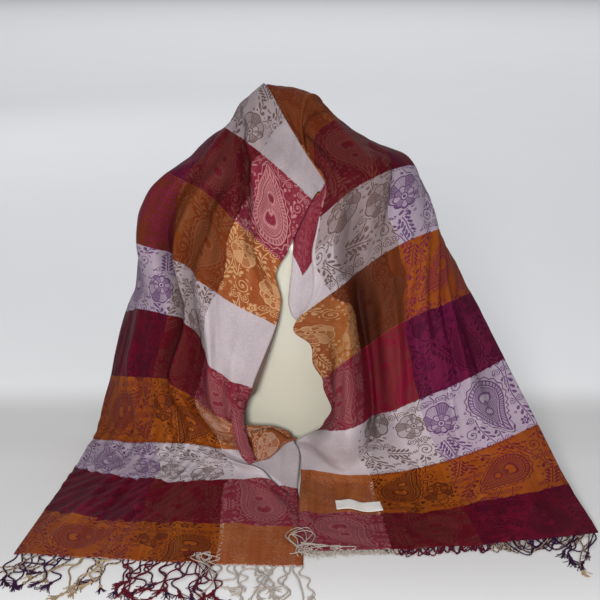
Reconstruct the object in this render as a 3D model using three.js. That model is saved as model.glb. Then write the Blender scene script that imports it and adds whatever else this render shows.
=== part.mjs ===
// A pashmina shawl, folded once along its length and draped over a limbless bust form.
// Millimetres, +Z up, the front faces -Y, and the form stands on z = 0.
import * as THREE from 'three';

// ---- the cloth: the whole cut, and the wall that stands for its two folded layers ----
const SHAWL_LENGTH = 1800;
const SHAWL_WIDTH = 700;
const FOLDED_WIDTH = SHAWL_WIDTH / 2;
const BANDS = 17;
const BAND = SHAWL_LENGTH / BANDS;
const LAP_BAND = 8.75;
const RIGHT_FALL_BAND = 9.1;
const WALL = 2;
const SEAM_GAP = 0.3;

// ---- the form ----
const FORM_CENTRE = { x: -24, y: 0 };
const FORM_CLEARANCE = 0.9;
const FORM_SIDES = 48;
const RINGS_PER_ROW = 2;

// ---- how finely the cloth is faceted ----
const STEPS_PER_BAND = 3;
const STEPS_PER_NECK_BAND = 11;
const STEPS_PER_COLUMN = 5;
const NECK_BANDS = { from: 7.9, to: 10.4 };

// Rings of the form, from the flat underside to the closed neck.
const FORM_RINGS = [
  { height: 0, halfWidth: 128, halfDepth: 84, squareness: 2.6 },
  { height: 90, halfWidth: 132, halfDepth: 90, squareness: 2.6 },
  { height: 180, halfWidth: 146, halfDepth: 97, squareness: 2.6 },
  { height: 260, halfWidth: 160, halfDepth: 98, squareness: 2.6 },
  { height: 320, halfWidth: 168, halfDepth: 92, squareness: 2.5 },
  { height: 360, halfWidth: 168, halfDepth: 80, squareness: 2.4 },
  { height: 385, halfWidth: 152, halfDepth: 70, squareness: 2.3 },
  { height: 408, halfWidth: 118, halfDepth: 60, squareness: 2.2 },
  { height: 432, halfWidth: 76, halfDepth: 53, squareness: 2.1 },
  { height: 460, halfWidth: 58, halfDepth: 50, squareness: 2 },
  { height: 490, halfWidth: 54, halfDepth: 47, squareness: 2 },
  { height: 512, halfWidth: 42, halfDepth: 37, squareness: 2 },
  { height: 524, halfWidth: 22, halfDepth: 19, squareness: 2 },
];

// Sections of the folded cloth from the left hem to the nape, each placed by the number of
// woven bands between it and the left hem. Each runs across the cloth, from the two selvedges
// at the opening to the outer fold.
const LEFT_SECTIONS = [
  { band: 0, selvedge: [4, -378, 2], inner: [-95, -374, 2], middle: [-180, -367, 2],
    outer: [-270, -359, 2], fold: [-360, -350, 2] },
  { band: 1, selvedge: [4, -288, 2], inner: [-90, -290, 8], middle: [-175, -288, 8],
    outer: [-262, -272, 4], fold: [-346, -245, 2] },
  { band: 2, selvedge: [-3, -186, 3], inner: [-85, -192, 20], middle: [-165, -190, 16],
    outer: [-248, -165, 9], fold: [-329, -125, 2] },
  { band: 3, selvedge: [-6, -116, 44], inner: [-82, -160, 48], middle: [-162, -142, 50],
    outer: [-245, -95, 28], fold: [-320, -30, 2] },
  { band: 4, selvedge: [-72, -128, 82], inner: [-128, -126, 92], middle: [-196, -100, 128],
    outer: [-258, -45, 112], fold: [-296, 15, 88] },
  { band: 5, selvedge: [-68, -134, 132], inner: [-118, -126, 158], middle: [-170, -98, 218],
    outer: [-236, -40, 218], fold: [-268, 35, 186] },
  { band: 6, selvedge: [-33, -128, 225], inner: [-108, -110, 260], middle: [-178, -68, 302],
    outer: [-240, 0, 312], fold: [-222, 62, 285] },
  { band: 6.6, selvedge: [-24, -120, 278], inner: [-92, -103, 320], middle: [-158, -62, 364],
    outer: [-230, 3, 366], fold: [-212, 72, 322] },
  { band: 7, selvedge: [-22, -114, 313], inner: [-80, -96, 357], middle: [-140, -55, 401],
    outer: [-198, 6, 406], fold: [-188, 80, 350] },
  { band: 8, selvedge: [16, -102, 397], inner: [-25, -82, 432], middle: [-84, -30, 470],
    outer: [-108, 45, 462], fold: [-112, 106, 395] },
  { band: 8.4, selvedge: [28, -98, 410], inner: [-14, -78, 456], middle: [-72, -24, 514],
    outer: [-88, 52, 492], fold: [-84, 106, 414] },
  { band: 8.75, selvedge: [34, -96, 420], inner: [-8, -72, 481], middle: [-48, -14, 541],
    outer: [-54, 62, 508], fold: [-54, 104, 432] },
];

// The same from the lap at the neck, where the left fall crosses over, to the right hem.
const RIGHT_SECTIONS = [
  { band: 8.9, selvedge: [26, -92, 416], inner: [-8, -68, 476], middle: [-42, -14, 536],
    outer: [-48, 60, 504], fold: [-48, 102, 428] },
  { band: 9.2, selvedge: [24, -90, 414], inner: [0, -62, 476], middle: [-22, -12, 536],
    outer: [-20, 62, 506], fold: [-22, 108, 430] },
  { band: 9.6, selvedge: [22, -90, 413], inner: [10, -56, 476], middle: [14, -4, 526],
    outer: [24, 66, 490], fold: [8, 112, 414] },
  { band: 10, selvedge: [24, -91, 411], inner: [20, -52, 474], middle: [56, 8, 488],
    outer: [60, 76, 448], fold: [40, 114, 384] },
  { band: 10.5, selvedge: [29, -94, 405], inner: [54, -66, 446], middle: [100, -14, 457],
    outer: [116, 58, 436], fold: [88, 110, 376] },
  { band: 11, selvedge: [26, -100, 372], inner: [80, -80, 411], middle: [138, -32, 427],
    outer: [168, 35, 408], fold: [130, 102, 358] },
  { band: 12, selvedge: [4, -120, 240], inner: [64, -118, 284], middle: [128, -86, 323],
    outer: [196, -36, 337], fold: [206, 42, 314] },
  { band: 13, selvedge: [32, -138, 148], inner: [72, -146, 186], middle: [136, -136, 230],
    outer: [198, -112, 250], fold: [245, -68, 254] },
  { band: 14, selvedge: [22, -130, 62], inner: [80, -176, 96], middle: [150, -176, 128],
    outer: [222, -164, 156], fold: [286, -134, 178] },
  { band: 15, selvedge: [3, -152, 8], inner: [80, -178, 18], middle: [165, -196, 40],
    outer: [250, -204, 74], fold: [326, -190, 104] },
  { band: 16, selvedge: [-2, -256, 5.5], inner: [90, -262, 7], middle: [180, -262, 12],
    outer: [275, -255, 28], fold: [361, -240, 40] },
  { band: 17, selvedge: [-2, -347, 5.3], inner: [96, -345, 5.3], middle: [195, -338, 5.3],
    outer: [292, -324, 5.3], fold: [387, -306, 5.3] },
];
const COLUMNS = ['selvedge', 'inner', 'middle', 'outer', 'fold'];

// The largest folds: each runs along the cloth from one band to another, at a share of the
// folded width that may drift on the way, and stands up from the wall or sinks into it.
const FOLDS = [
  { from: 7.7, to: 5.3, acrossFrom: 0.62, acrossTo: 0.66, halfWidth: 0.1, rise: 9 },
  { from: 7.6, to: 5.2, acrossFrom: 0.78, acrossTo: 0.8, halfWidth: 0.09, rise: -8 },
  { from: 6.3, to: 3.2, acrossFrom: 0.52, acrossTo: 0.26, halfWidth: 0.13, rise: -18 },
  { from: 5.4, to: 3.8, acrossFrom: 0.16, acrossTo: 0.08, halfWidth: 0.09, rise: 10 },
  { from: 3.3, to: 1, acrossFrom: 0.34, acrossTo: 0.02, halfWidth: 0.07, rise: 7 },
  { from: 11.8, to: 15.2, acrossFrom: 0.2, acrossTo: 0.17, halfWidth: 0.15, rise: 20 },
  { from: 11.7, to: 15, acrossFrom: 0.36, acrossTo: 0.34, halfWidth: 0.12, rise: -22 },
  { from: 10.4, to: 13.4, acrossFrom: 0.62, acrossTo: 0.58, halfWidth: 0.14, rise: 6 },
];

// The lap at the neck: how far the right fall runs under the left one, and how much lower it lies.
const LAP = { under: 14, past: 3, below: 2.6, riseFrom: 8.1, riseTo: 8.55 };

// The strip of the lower layer that shows inside the right fall's opening edge.
const UNDERLAYER = { from: 10.7, to: 12, shows: 33, covered: 0.1, apart: 1.4, setBack: 6, steps: 4 };

// The sewn label on the right fall: its lower edge is placed by bands, and its near end by the
// distance from the selvedge.
const LABEL = {
  lowerEdge: 15.95, fromSelvedge: 49, width: 60, height: 26, lift: 0.5, thickness: 0.8, steps: 4,
};

// The knotted fringe: how far its cords reach from each hem and under the right hem.
const FRINGE = {
  thickness: 3, reach: 92, lean: -0.2, shortReach: 20, cornerReach: 40, cornerFrom: 0.85, tuck: 38,
};

// ---- curves through the tables ----
function catmullRom(before, start, end, after, t) {
  const slopeIn = (end - before) / 2;
  const slopeOut = (after - start) / 2;
  const rise = end - start;
  return start + slopeIn * t
    + (3 * rise - 2 * slopeIn - slopeOut) * t * t
    + (slopeIn + slopeOut - 2 * rise) * t * t * t;
}

function alongRow(values, cell, share) {
  const last = values.length - 1;
  const pick = (i) => {
    if (i < 0) return 2 * values[0] - values[1];
    if (i > last) return 2 * values[last] - values[last - 1];
    return values[i];
  };
  return catmullRom(pick(cell - 1), pick(cell), pick(cell + 1), pick(cell + 2), share);
}

// The cell of a rising table that holds a value, and the share of the cell below it.
function cellOf(knots, value) {
  let cell = 0;
  while (cell < knots.length - 2 && knots[cell + 1] < value) cell += 1;
  return { cell, share: (value - knots[cell]) / (knots[cell + 1] - knots[cell]) };
}

const FORM_TOP = FORM_RINGS[FORM_RINGS.length - 1].height;
const FORM_HEIGHTS = FORM_RINGS.map((ring) => ring.height);

function formRing(height) {
  const { cell, share } = cellOf(FORM_HEIGHTS, Math.min(Math.max(height, 0), FORM_TOP));
  const read = (name) => alongRow(FORM_RINGS.map((ring) => ring[name]), cell, share);
  return { halfWidth: read('halfWidth'), halfDepth: read('halfDepth'), squareness: read('squareness') };
}

// ---- the form's surface as a field: below 0 inside, and about a distance near it ----
function formField(point) {
  const ring = formRing(point.z);
  const across = Math.abs(point.x - FORM_CENTRE.x) / ring.halfWidth;
  const deep = Math.abs(point.y - FORM_CENTRE.y) / ring.halfDepth;
  const ratio = (across ** ring.squareness + deep ** ring.squareness) ** (1 / ring.squareness);
  const sideways = (ratio - 1) * Math.min(ring.halfWidth, ring.halfDepth);
  return Math.max(sideways, point.z - FORM_TOP);
}

function formGradient(point) {
  const step = 0.5;
  const slope = (axis) => {
    const ahead = point.clone();
    const behind = point.clone();
    ahead[axis] += step;
    behind[axis] -= step;
    return (formField(ahead) - formField(behind)) / (2 * step);
  };
  return new THREE.Vector3(slope('x'), slope('y'), slope('z'));
}

function keepOutsideForm(point, clearance) {
  for (let pass = 0; pass < 6; pass += 1) {
    const gradient = formGradient(point);
    const steepness = Math.max(gradient.length(), 0.2);
    const distance = formField(point) / steepness;
    if (distance >= clearance) return point;
    point.addScaledVector(gradient.normalize(), (clearance - distance) * 0.9);
  }
  return point;
}

// ---- the cloth's outer face ----
function clothPoint(sections, band, across) {
  const row = cellOf(sections.map((section) => section.band), band);
  const place = across * (COLUMNS.length - 1);
  const column = Math.min(Math.max(Math.floor(place), 0), COLUMNS.length - 2);
  const coordinates = [0, 1, 2].map((axis) => {
    const crossings = COLUMNS.map((name) => (
      alongRow(sections.map((section) => section[name][axis]), row.cell, row.share)));
    return alongRow(crossings, column, place - column);
  });
  return new THREE.Vector3(...coordinates);
}

function foldRise(band, across) {
  return FOLDS.reduce((sum, fold) => {
    const along = (band - fold.from) / (fold.to - fold.from);
    if (along <= 0 || along >= 1) return sum;
    const centre = THREE.MathUtils.lerp(fold.acrossFrom, fold.acrossTo, along);
    const offset = (across - centre) / fold.halfWidth;
    if (Math.abs(offset) >= 1) return sum;
    const lengthwise = Math.sin(Math.PI * along) ** 0.8;
    return sum + fold.rise * lengthwise * (0.5 + 0.5 * Math.cos(Math.PI * offset));
  }, 0);
}

// Places along the cloth, closer together where it bends over the neck.
function bandPlaces(from, to) {
  const places = [from];
  while (places[places.length - 1] < to - 1e-6) {
    const place = places[places.length - 1];
    const overNeck = place > NECK_BANDS.from && place < NECK_BANDS.to;
    const step = 1 / (overNeck ? STEPS_PER_NECK_BAND : STEPS_PER_BAND);
    places.push(Math.min(place + step, to));
  }
  return places;
}

// A grid of points on the outer face, at the given bands and shares of the folded width.
function clothGrid(sections, bands, shares, extraClearance) {
  const grid = bands.map((band) => shares.map((across) => clothPoint(sections, band, across)));
  const normals = gridNormals(grid);
  return grid.map((row, i) => row.map((point, j) => {
    point.addScaledVector(normals[i][j], foldRise(bands[i], shares[j]));
    point.z = Math.max(point.z, WALL);
    return keepOutsideForm(point, FORM_CLEARANCE + WALL + extraClearance(bands[i]));
  }));
}

function gridNormals(grid) {
  const rows = grid.length - 1;
  const columns = grid[0].length - 1;
  return grid.map((row, i) => row.map((point, j) => {
    const alongLength = grid[Math.min(i + 1, rows)][j].clone().sub(grid[Math.max(i - 1, 0)][j]);
    const acrossWidth = grid[i][Math.min(j + 1, columns)].clone().sub(grid[i][Math.max(j - 1, 0)]);
    return alongLength.cross(acrossWidth).normalize();
  }));
}

// A closed wall between two grids of the same size.
function wallBetween(outerFace, innerFace) {
  const rows = outerFace.length;
  const columns = outerFace[0].length;
  const positions = [];
  [outerFace, innerFace].forEach((face) => face.forEach((row) => row.forEach((point) => {
    positions.push(point.x, point.y, point.z);
  })));
  const index = [];
  const at = (face, i, j) => face * rows * columns + i * columns + j;
  const quad = (a, b, c, d) => index.push(a, b, c, a, c, d);
  for (let i = 0; i < rows - 1; i += 1) {
    for (let j = 0; j < columns - 1; j += 1) {
      quad(at(0, i, j), at(0, i + 1, j), at(0, i + 1, j + 1), at(0, i, j + 1));
      quad(at(1, i, j), at(1, i, j + 1), at(1, i + 1, j + 1), at(1, i + 1, j));
    }
  }
  for (let i = 0; i < rows - 1; i += 1) {
    quad(at(0, i, 0), at(1, i, 0), at(1, i + 1, 0), at(0, i + 1, 0));
    quad(at(0, i, columns - 1), at(0, i + 1, columns - 1), at(1, i + 1, columns - 1), at(1, i, columns - 1));
  }
  for (let j = 0; j < columns - 1; j += 1) {
    quad(at(0, 0, j), at(0, 0, j + 1), at(1, 0, j + 1), at(1, 0, j));
    quad(at(0, rows - 1, j), at(1, rows - 1, j), at(1, rows - 1, j + 1), at(0, rows - 1, j + 1));
  }
  const geometry = new THREE.BufferGeometry();
  geometry.setAttribute('position', new THREE.Float32BufferAttribute(positions, 3));
  geometry.setIndex(index);
  geometry.computeVertexNormals();
  return geometry;
}

function moved(grid, normals, distance, floor) {
  return grid.map((row, i) => row.map((point, j) => {
    const place = point.clone().addScaledVector(normals[i][j], distance);
    place.z = Math.max(place.z, floor);
    return keepOutsideForm(place, FORM_CLEARANCE);
  }));
}

function clothWall(grid, floor) {
  return wallBetween(grid, moved(grid, gridNormals(grid), -WALL, floor));
}

function formGeometry() {
  const positions = [];
  const index = [];
  const rings = (FORM_RINGS.length - 1) * RINGS_PER_ROW;
  for (let i = 0; i <= rings; i += 1) {
    const cell = Math.min(Math.floor(i / RINGS_PER_ROW), FORM_RINGS.length - 2);
    const share = i / RINGS_PER_ROW - cell;
    const height = THREE.MathUtils.lerp(FORM_RINGS[cell].height, FORM_RINGS[cell + 1].height, share);
    const ring = formRing(height);
    for (let k = 0; k < FORM_SIDES; k += 1) {
      const turn = (2 * Math.PI * k) / FORM_SIDES;
      const power = 2 / ring.squareness;
      const swell = (value) => Math.sign(value) * Math.abs(value) ** power;
      positions.push(
        FORM_CENTRE.x + ring.halfWidth * swell(Math.cos(turn)),
        FORM_CENTRE.y + ring.halfDepth * swell(Math.sin(turn)),
        height,
      );
    }
  }
  for (let i = 0; i < rings; i += 1) {
    for (let k = 0; k < FORM_SIDES; k += 1) {
      const next = (k + 1) % FORM_SIDES;
      const a = i * FORM_SIDES + k;
      const b = i * FORM_SIDES + next;
      index.push(a, b, b + FORM_SIDES, a, b + FORM_SIDES, a + FORM_SIDES);
    }
  }
  for (let k = 1; k < FORM_SIDES - 1; k += 1) {
    const top = rings * FORM_SIDES;
    index.push(0, k + 1, k);
    index.push(top, top + k, top + k + 1);
  }
  const geometry = new THREE.BufferGeometry();
  geometry.setAttribute('position', new THREE.Float32BufferAttribute(positions, 3));
  geometry.setIndex(index);
  geometry.computeVertexNormals();
  return geometry;
}

function piece(name, geometry, colour, roughness) {
  const material = new THREE.MeshStandardMaterial({ color: colour, roughness, metalness: 0 });
  const mesh = new THREE.Mesh(geometry, material);
  mesh.name = name;
  return mesh;
}

// ---- the pieces ----
const columnSteps = (COLUMNS.length - 1) * STEPS_PER_COLUMN;
const evenShares = (from, to, steps) => (
  Array.from({ length: steps + 1 }, (_, k) => THREE.MathUtils.lerp(from, to, k / steps)));
const allShares = evenShares(0, 1, columnSteps);
const lapDepth = WALL + LAP.below;

const leftGrid = clothGrid(LEFT_SECTIONS, bandPlaces(0, LAP_BAND), allShares, (band) => (
  lapDepth * THREE.MathUtils.smoothstep(band, LAP.riseFrom, LAP.riseTo)));

// Two rows of the right fall follow the left fall's last row, under it and just past its edge.
function lapRow(grid, along) {
  const last = grid.length - 1;
  const normals = gridNormals(grid)[last];
  return grid[last].map((point, j) => {
    const heading = point.clone().sub(grid[last - 1][j]).normalize();
    const place = point.clone().addScaledVector(heading, along).addScaledVector(normals[j], -lapDepth);
    return keepOutsideForm(place, FORM_CLEARANCE + WALL);
  });
}

const rightGrid = [
  lapRow(leftGrid, -LAP.under),
  lapRow(leftGrid, LAP.past),
  ...clothGrid(RIGHT_SECTIONS, bandPlaces(RIGHT_FALL_BAND, BANDS), allShares, () => 0),
];

function underlayerWall() {
  const bands = bandPlaces(UNDERLAYER.from, UNDERLAYER.to);
  const shares = evenShares(0, UNDERLAYER.covered, UNDERLAYER.steps);
  const under = clothGrid(RIGHT_SECTIONS, bands, shares, () => 0);
  const depth = WALL + UNDERLAYER.apart;
  const covered = moved(under, gridNormals(under), -depth, 0);
  const outerFace = covered.map((row, i) => {
    const along = (bands[i] - UNDERLAYER.from) / (UNDERLAYER.to - UNDERLAYER.from);
    const shows = UNDERLAYER.shows * (1 - along ** 4) + 1;
    const strip = evenShares(1, 0, UNDERLAYER.steps).slice(0, -1).map((share) => {
      const place = row[0].clone();
      place.x -= shows * share;
      place.y += UNDERLAYER.setBack * share;
      return keepOutsideForm(place, FORM_CLEARANCE + WALL);
    });
    return [...strip, ...row];
  });
  return clothWall(outerFace, 0);
}

function labelWall() {
  const bands = evenShares(LABEL.lowerEdge - LABEL.height / BAND, LABEL.lowerEdge, LABEL.steps);
  const near = LABEL.fromSelvedge / FOLDED_WIDTH;
  const shares = evenShares(near, near + LABEL.width / FOLDED_WIDTH, LABEL.steps);
  const panel = clothGrid(RIGHT_SECTIONS, bands, shares, () => 0);
  const normals = gridNormals(panel);
  const underside = moved(panel, normals, LABEL.lift, 0);
  return wallBetween(moved(panel, normals, LABEL.lift + LABEL.thickness, 0), underside);
}

// A flat slab beside a hem, between two distances ahead of it. The order of the two turns its
// top up: a hem that runs to the left starts ahead, and one that runs to the right starts behind.
function fringeSlab(hem, lean, startReach, endReach) {
  const edge = (reach, height) => hem.map((point, j) => (
    new THREE.Vector3(point.x + lean * reach(j), point.y - reach(j), height)));
  const face = (height) => [edge(startReach, height), edge(endReach, height)];
  return wallBetween(face(FRINGE.thickness), face(0));
}

const leftHem = leftGrid[0];
const rightHem = rightGrid[rightGrid.length - 1].slice(1);
const cornerShare = (j) => THREE.MathUtils.smoothstep(j / columnSteps, FRINGE.cornerFrom, 1);
const leftFringe = fringeSlab(leftHem, FRINGE.lean, () => FRINGE.reach, () => SEAM_GAP);
const rightFringe = fringeSlab(
  rightHem,
  0,
  () => -FRINGE.tuck,
  (j) => FRINGE.shortReach + FRINGE.cornerReach * cornerShare(j),
);

const shawlOnForm = new THREE.Group();
shawlOnForm.add(piece('bust_form', formGeometry(), 0xe1dcc3, 0.2));
shawlOnForm.add(piece('shawl_left_fall', clothWall(leftGrid, 0), 0xa5551e, 0.6));
shawlOnForm.add(piece('shawl_right_fall', clothWall(rightGrid, 0), 0x69182a, 0.6));
shawlOnForm.add(piece('shawl_right_underlayer', underlayerWall(), 0xbcb2bc, 0.6));
shawlOnForm.add(piece('label', labelWall(), 0xe8e4dc, 0.7));
shawlOnForm.add(piece('fringe_left', leftFringe, 0x5a3048, 0.8));
shawlOnForm.add(piece('fringe_right', rightFringe, 0x5a3048, 0.8));

// The origin stands on the surface, at the middle of the whole object's box.
const reachBox = new THREE.Box3().setFromObject(shawlOnForm);
const middle = reachBox.getCenter(new THREE.Vector3());
shawlOnForm.children.forEach((mesh) => mesh.position.set(-middle.x, -middle.y, 0));

export default shawlOnForm;
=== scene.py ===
"""Looks of a fringed jacquard shawl, folded lengthwise and draped over a limbless bust form."""

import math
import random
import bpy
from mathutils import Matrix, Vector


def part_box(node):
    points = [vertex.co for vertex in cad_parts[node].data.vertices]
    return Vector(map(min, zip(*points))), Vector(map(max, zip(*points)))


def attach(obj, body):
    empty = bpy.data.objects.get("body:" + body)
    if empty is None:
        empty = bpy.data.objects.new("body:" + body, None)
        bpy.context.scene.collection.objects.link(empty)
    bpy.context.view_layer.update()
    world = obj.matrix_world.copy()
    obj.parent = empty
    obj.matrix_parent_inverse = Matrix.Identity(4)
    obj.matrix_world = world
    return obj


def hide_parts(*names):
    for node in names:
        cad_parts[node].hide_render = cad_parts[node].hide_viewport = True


bl_info = {
    "name": "Draped jacquard shawl",
    "version": (1, 0, 0),
    "blender": (4, 5, 0),
    "location": "3D View > Sidebar > Shawl",
    "description": "Weaves, drapes and fringes a banded shawl on a bust form",
    "category": "Object",
}

import bpy
import numpy as np
from bpy.props import FloatProperty, FloatVectorProperty, IntProperty, PointerProperty
from mathutils import Vector

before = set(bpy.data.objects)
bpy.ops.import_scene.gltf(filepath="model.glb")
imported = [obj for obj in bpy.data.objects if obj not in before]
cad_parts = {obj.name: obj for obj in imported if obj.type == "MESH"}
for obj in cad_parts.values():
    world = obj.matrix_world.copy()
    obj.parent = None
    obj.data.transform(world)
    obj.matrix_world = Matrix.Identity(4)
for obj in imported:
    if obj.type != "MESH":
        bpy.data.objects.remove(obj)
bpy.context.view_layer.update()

MM = 0.001
BODY = "root"

# ---------------------------------------------------------------- the cloth's cut
BANDS = 17
SHAWL_LENGTH = 1.8
SHAWL_WIDTH = 0.7
FOLDED_WIDTH = SHAWL_WIDTH / 2
BAND = SHAWL_LENGTH / BANDS
LAP_BAND = 8.75

# ---------------------------------------------------------------- the form and the drape, in mm
FORM_CENTRE = np.array([-24.0, 0.0])
FORM_TABLE = np.array([
    # height, half width, half depth, squareness
    (0, 128, 84, 2.6), (90, 132, 90, 2.6), (180, 146, 97, 2.6), (260, 160, 98, 2.6),
    (320, 168, 92, 2.5), (360, 168, 80, 2.4), (385, 152, 70, 2.3), (408, 118, 60, 2.2),
    (432, 76, 53, 2.1), (460, 58, 50, 2), (490, 54, 47, 2), (512, 42, 37, 2), (524, 22, 19, 2),
])

# Sections across the folded cloth. Each row has the number of woven bands between it and the left
# hem, and five points from the selvedges at the opening to the outer fold.
LEFT_SECTIONS = (
    (0, (4, -378, 2), (-95, -374, 2), (-180, -367, 2), (-270, -359, 2), (-360, -350, 2)),
    (1, (4, -288, 2), (-90, -290, 8), (-175, -288, 8), (-262, -272, 4), (-346, -245, 2)),
    (2, (-3, -186, 3), (-85, -192, 20), (-165, -190, 16), (-248, -165, 9), (-329, -125, 2)),
    (3, (-6, -116, 44), (-82, -160, 48), (-162, -142, 50), (-245, -95, 28), (-320, -30, 2)),
    (4, (-72, -128, 82), (-128, -126, 92), (-196, -100, 128), (-258, -45, 112), (-296, 15, 88)),
    (5, (-68, -134, 132), (-118, -126, 158), (-170, -98, 218), (-236, -40, 218), (-268, 35, 186)),
    (6, (-33, -128, 225), (-108, -110, 260), (-178, -68, 302), (-240, 0, 312), (-222, 62, 285)),
    (6.6, (-24, -120, 278), (-92, -103, 320), (-158, -62, 364), (-230, 3, 366), (-212, 72, 322)),
    (7, (-22, -114, 313), (-80, -96, 357), (-140, -55, 401), (-198, 6, 406), (-188, 80, 350)),
    (8, (16, -102, 397), (-25, -82, 432), (-84, -30, 470), (-108, 45, 462), (-112, 106, 395)),
    (8.4, (28, -98, 410), (-14, -78, 456), (-72, -24, 514), (-88, 52, 492), (-84, 106, 414)),
    (8.75, (34, -96, 420), (-8, -72, 481), (-48, -14, 541), (-54, 62, 508), (-54, 104, 432)),
)
RIGHT_SECTIONS = (
    (8.9, (26, -92, 416), (-8, -68, 476), (-42, -14, 536), (-48, 60, 504), (-48, 102, 428)),
    (9.2, (24, -90, 414), (0, -62, 476), (-22, -12, 536), (-20, 62, 506), (-22, 108, 430)),
    (9.6, (22, -90, 413), (10, -56, 476), (14, -4, 526), (24, 66, 490), (8, 112, 414)),
    (10, (24, -91, 411), (20, -52, 474), (56, 8, 488), (60, 76, 448), (40, 114, 384)),
    (10.5, (29, -94, 405), (54, -66, 446), (100, -14, 457), (116, 58, 436), (88, 110, 376)),
    (11, (26, -100, 372), (80, -80, 411), (138, -32, 427), (168, 35, 408), (130, 102, 358)),
    (12, (4, -120, 240), (64, -118, 284), (128, -86, 323), (196, -36, 337), (206, 42, 314)),
    (13, (32, -138, 148), (72, -146, 186), (136, -136, 230), (198, -112, 250), (245, -68, 254)),
    (14, (22, -130, 62), (80, -176, 96), (150, -176, 128), (222, -164, 156), (286, -134, 178)),
    (15, (3, -152, 8), (80, -178, 18), (165, -196, 40), (250, -204, 74), (326, -190, 104)),
    (16, (-2, -256, 5.5), (90, -262, 7), (180, -262, 12), (275, -255, 28), (361, -240, 40)),
    (17, (-2, -347, 5.3), (96, -345, 5.3), (195, -338, 5.3), (292, -324, 5.3), (387, -306, 5.3)),
)

# Folds: from band, to band, share across at each end, half width as a share, and rise in mm.
MAIN_FOLDS = (
    (7.7, 5.3, 0.62, 0.66, 0.1, 9), (7.6, 5.2, 0.78, 0.8, 0.09, -8),
    (6.3, 3.2, 0.52, 0.26, 0.13, -18), (5.4, 3.8, 0.16, 0.08, 0.09, 10),
    (3.3, 1, 0.34, 0.02, 0.07, 7), (11.8, 15.2, 0.2, 0.17, 0.15, 20),
    (11.7, 15, 0.36, 0.34, 0.12, -22), (10.4, 13.4, 0.62, 0.58, 0.14, 6),
)


def through(values, cell, share):
    """Catmull-Rom curve through the rows of an array, at a share of the way into each cell."""
    first = 2 * values[:1] - values[1:2]
    last = 2 * values[-1:] - values[-2:-1]
    knots = np.concatenate([first, values, last])
    share = share.reshape((-1,) + (1,) * (values.ndim - 1))
    before, start, end, after = (knots[cell + k] for k in range(4))
    slope_in = (end - before) / 2
    slope_out = (after - start) / 2
    rise = end - start
    cubic = slope_in + slope_out - 2 * rise
    square = 3 * rise - 2 * slope_in - slope_out
    return start + share * (slope_in + share * (square + share * cubic))


def cells_of(knots, values):
    cell = np.clip(np.searchsorted(knots, values, side="left") - 1, 0, len(knots) - 2)
    return cell, (values - knots[cell]) / (knots[cell + 1] - knots[cell])


def normals_of(grid):
    """Unit normals of a grid of points, facing out of the cloth."""
    along = np.gradient(grid, axis=0)
    across = np.gradient(grid, axis=1)
    normal = np.cross(along, across)
    return normal / np.maximum(np.linalg.norm(normal, axis=2, keepdims=True), 1e-9)


def form_ring(height):
    heights = FORM_TABLE[:, 0]
    cell, share = cells_of(heights, np.clip(height, 0, heights[-1]))
    return through(FORM_TABLE[:, 1:], cell, share).T


def form_field(points):
    """Below 0 inside the form, and about a distance in mm near its surface."""
    half_width, half_depth, squareness = form_ring(points[:, 2])
    across = np.abs(points[:, 0] - FORM_CENTRE[0]) / half_width
    deep = np.abs(points[:, 1] - FORM_CENTRE[1]) / half_depth
    ratio = (across ** squareness + deep ** squareness) ** (1 / squareness)
    sideways = (ratio - 1) * np.minimum(half_width, half_depth)
    return np.maximum(sideways, points[:, 2] - FORM_TABLE[-1, 0])


def keep_outside_form(grid, clearance):
    """Moves the points that lie too close to the form out along the form's own slope."""
    points = grid.reshape(-1, 3).copy()
    clearance = np.broadcast_to(clearance, grid.shape[:2]).reshape(-1)
    step = 0.5
    for _ in range(6):
        field = form_field(points)
        slope = np.stack([
            (form_field(points + step * axis) - form_field(points - step * axis)) / (2 * step)
            for axis in np.eye(3)
        ], axis=1)
        steepness = np.maximum(np.linalg.norm(slope, axis=1), 0.2)
        short = np.clip(clearance - field / steepness, 0, None) * 0.9
        points += slope / steepness[:, None] * short[:, None]
    return points.reshape(grid.shape)


def fold_rise(bands, shares, folds):
    """How far the folds lift each point of a grid, in mm."""
    rise = np.zeros((len(bands), len(shares)))
    for start, end, across_start, across_end, half_width, height in folds:
        along = (bands - start) / (end - start)
        inside = (along > 0) & (along < 1)
        lengthwise = np.where(inside, np.sin(np.pi * np.clip(along, 0, 1)) ** 0.8, 0)
        centre = across_start + (across_end - across_start) * along
        offset = np.clip(np.abs(shares[None, :] - centre[:, None]) / half_width, 0, 1)
        rise += height * lengthwise[:, None] * (0.5 + 0.5 * np.cos(np.pi * offset))
    return rise


def soft_waves(bands, shares, seed, count, shortest, longest, height):
    """Small uneven waves from a fixed seed, in mm; lengths are in metres of cloth."""
    draw = random.Random(seed)
    along = bands[:, None] * BAND
    across = shares[None, :] * FOLDED_WIDTH
    waves = np.zeros((len(bands), len(shares)))
    for _ in range(count):
        length = draw.uniform(shortest, longest)
        heading = draw.gauss(0, 0.5)
        phase = draw.uniform(0, 2 * math.pi)
        turn = 2 * math.pi / length
        waves += np.sin(turn * (across * math.cos(heading) + along * math.sin(heading)) + phase)
    return waves * height / math.sqrt(count)


def cloth_grid(sections, bands, shares, clearance, folds):
    """Points of the cloth's outer face in mm, row by row along the cloth."""
    knots = np.array([row[0] for row in sections], float)
    points = np.array([row[1:] for row in sections], float)
    cell, share = cells_of(knots, bands)
    rows = through(points, cell, share)
    place = shares * (points.shape[1] - 1)
    column = np.clip(np.floor(place).astype(int), 0, points.shape[1] - 2)
    grid = through(rows.transpose(1, 0, 2), column, place - column).transpose(1, 0, 2)
    grid = grid + normals_of(grid) * folds[:, :, None]
    return keep_outside_form(grid, clearance)


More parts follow.
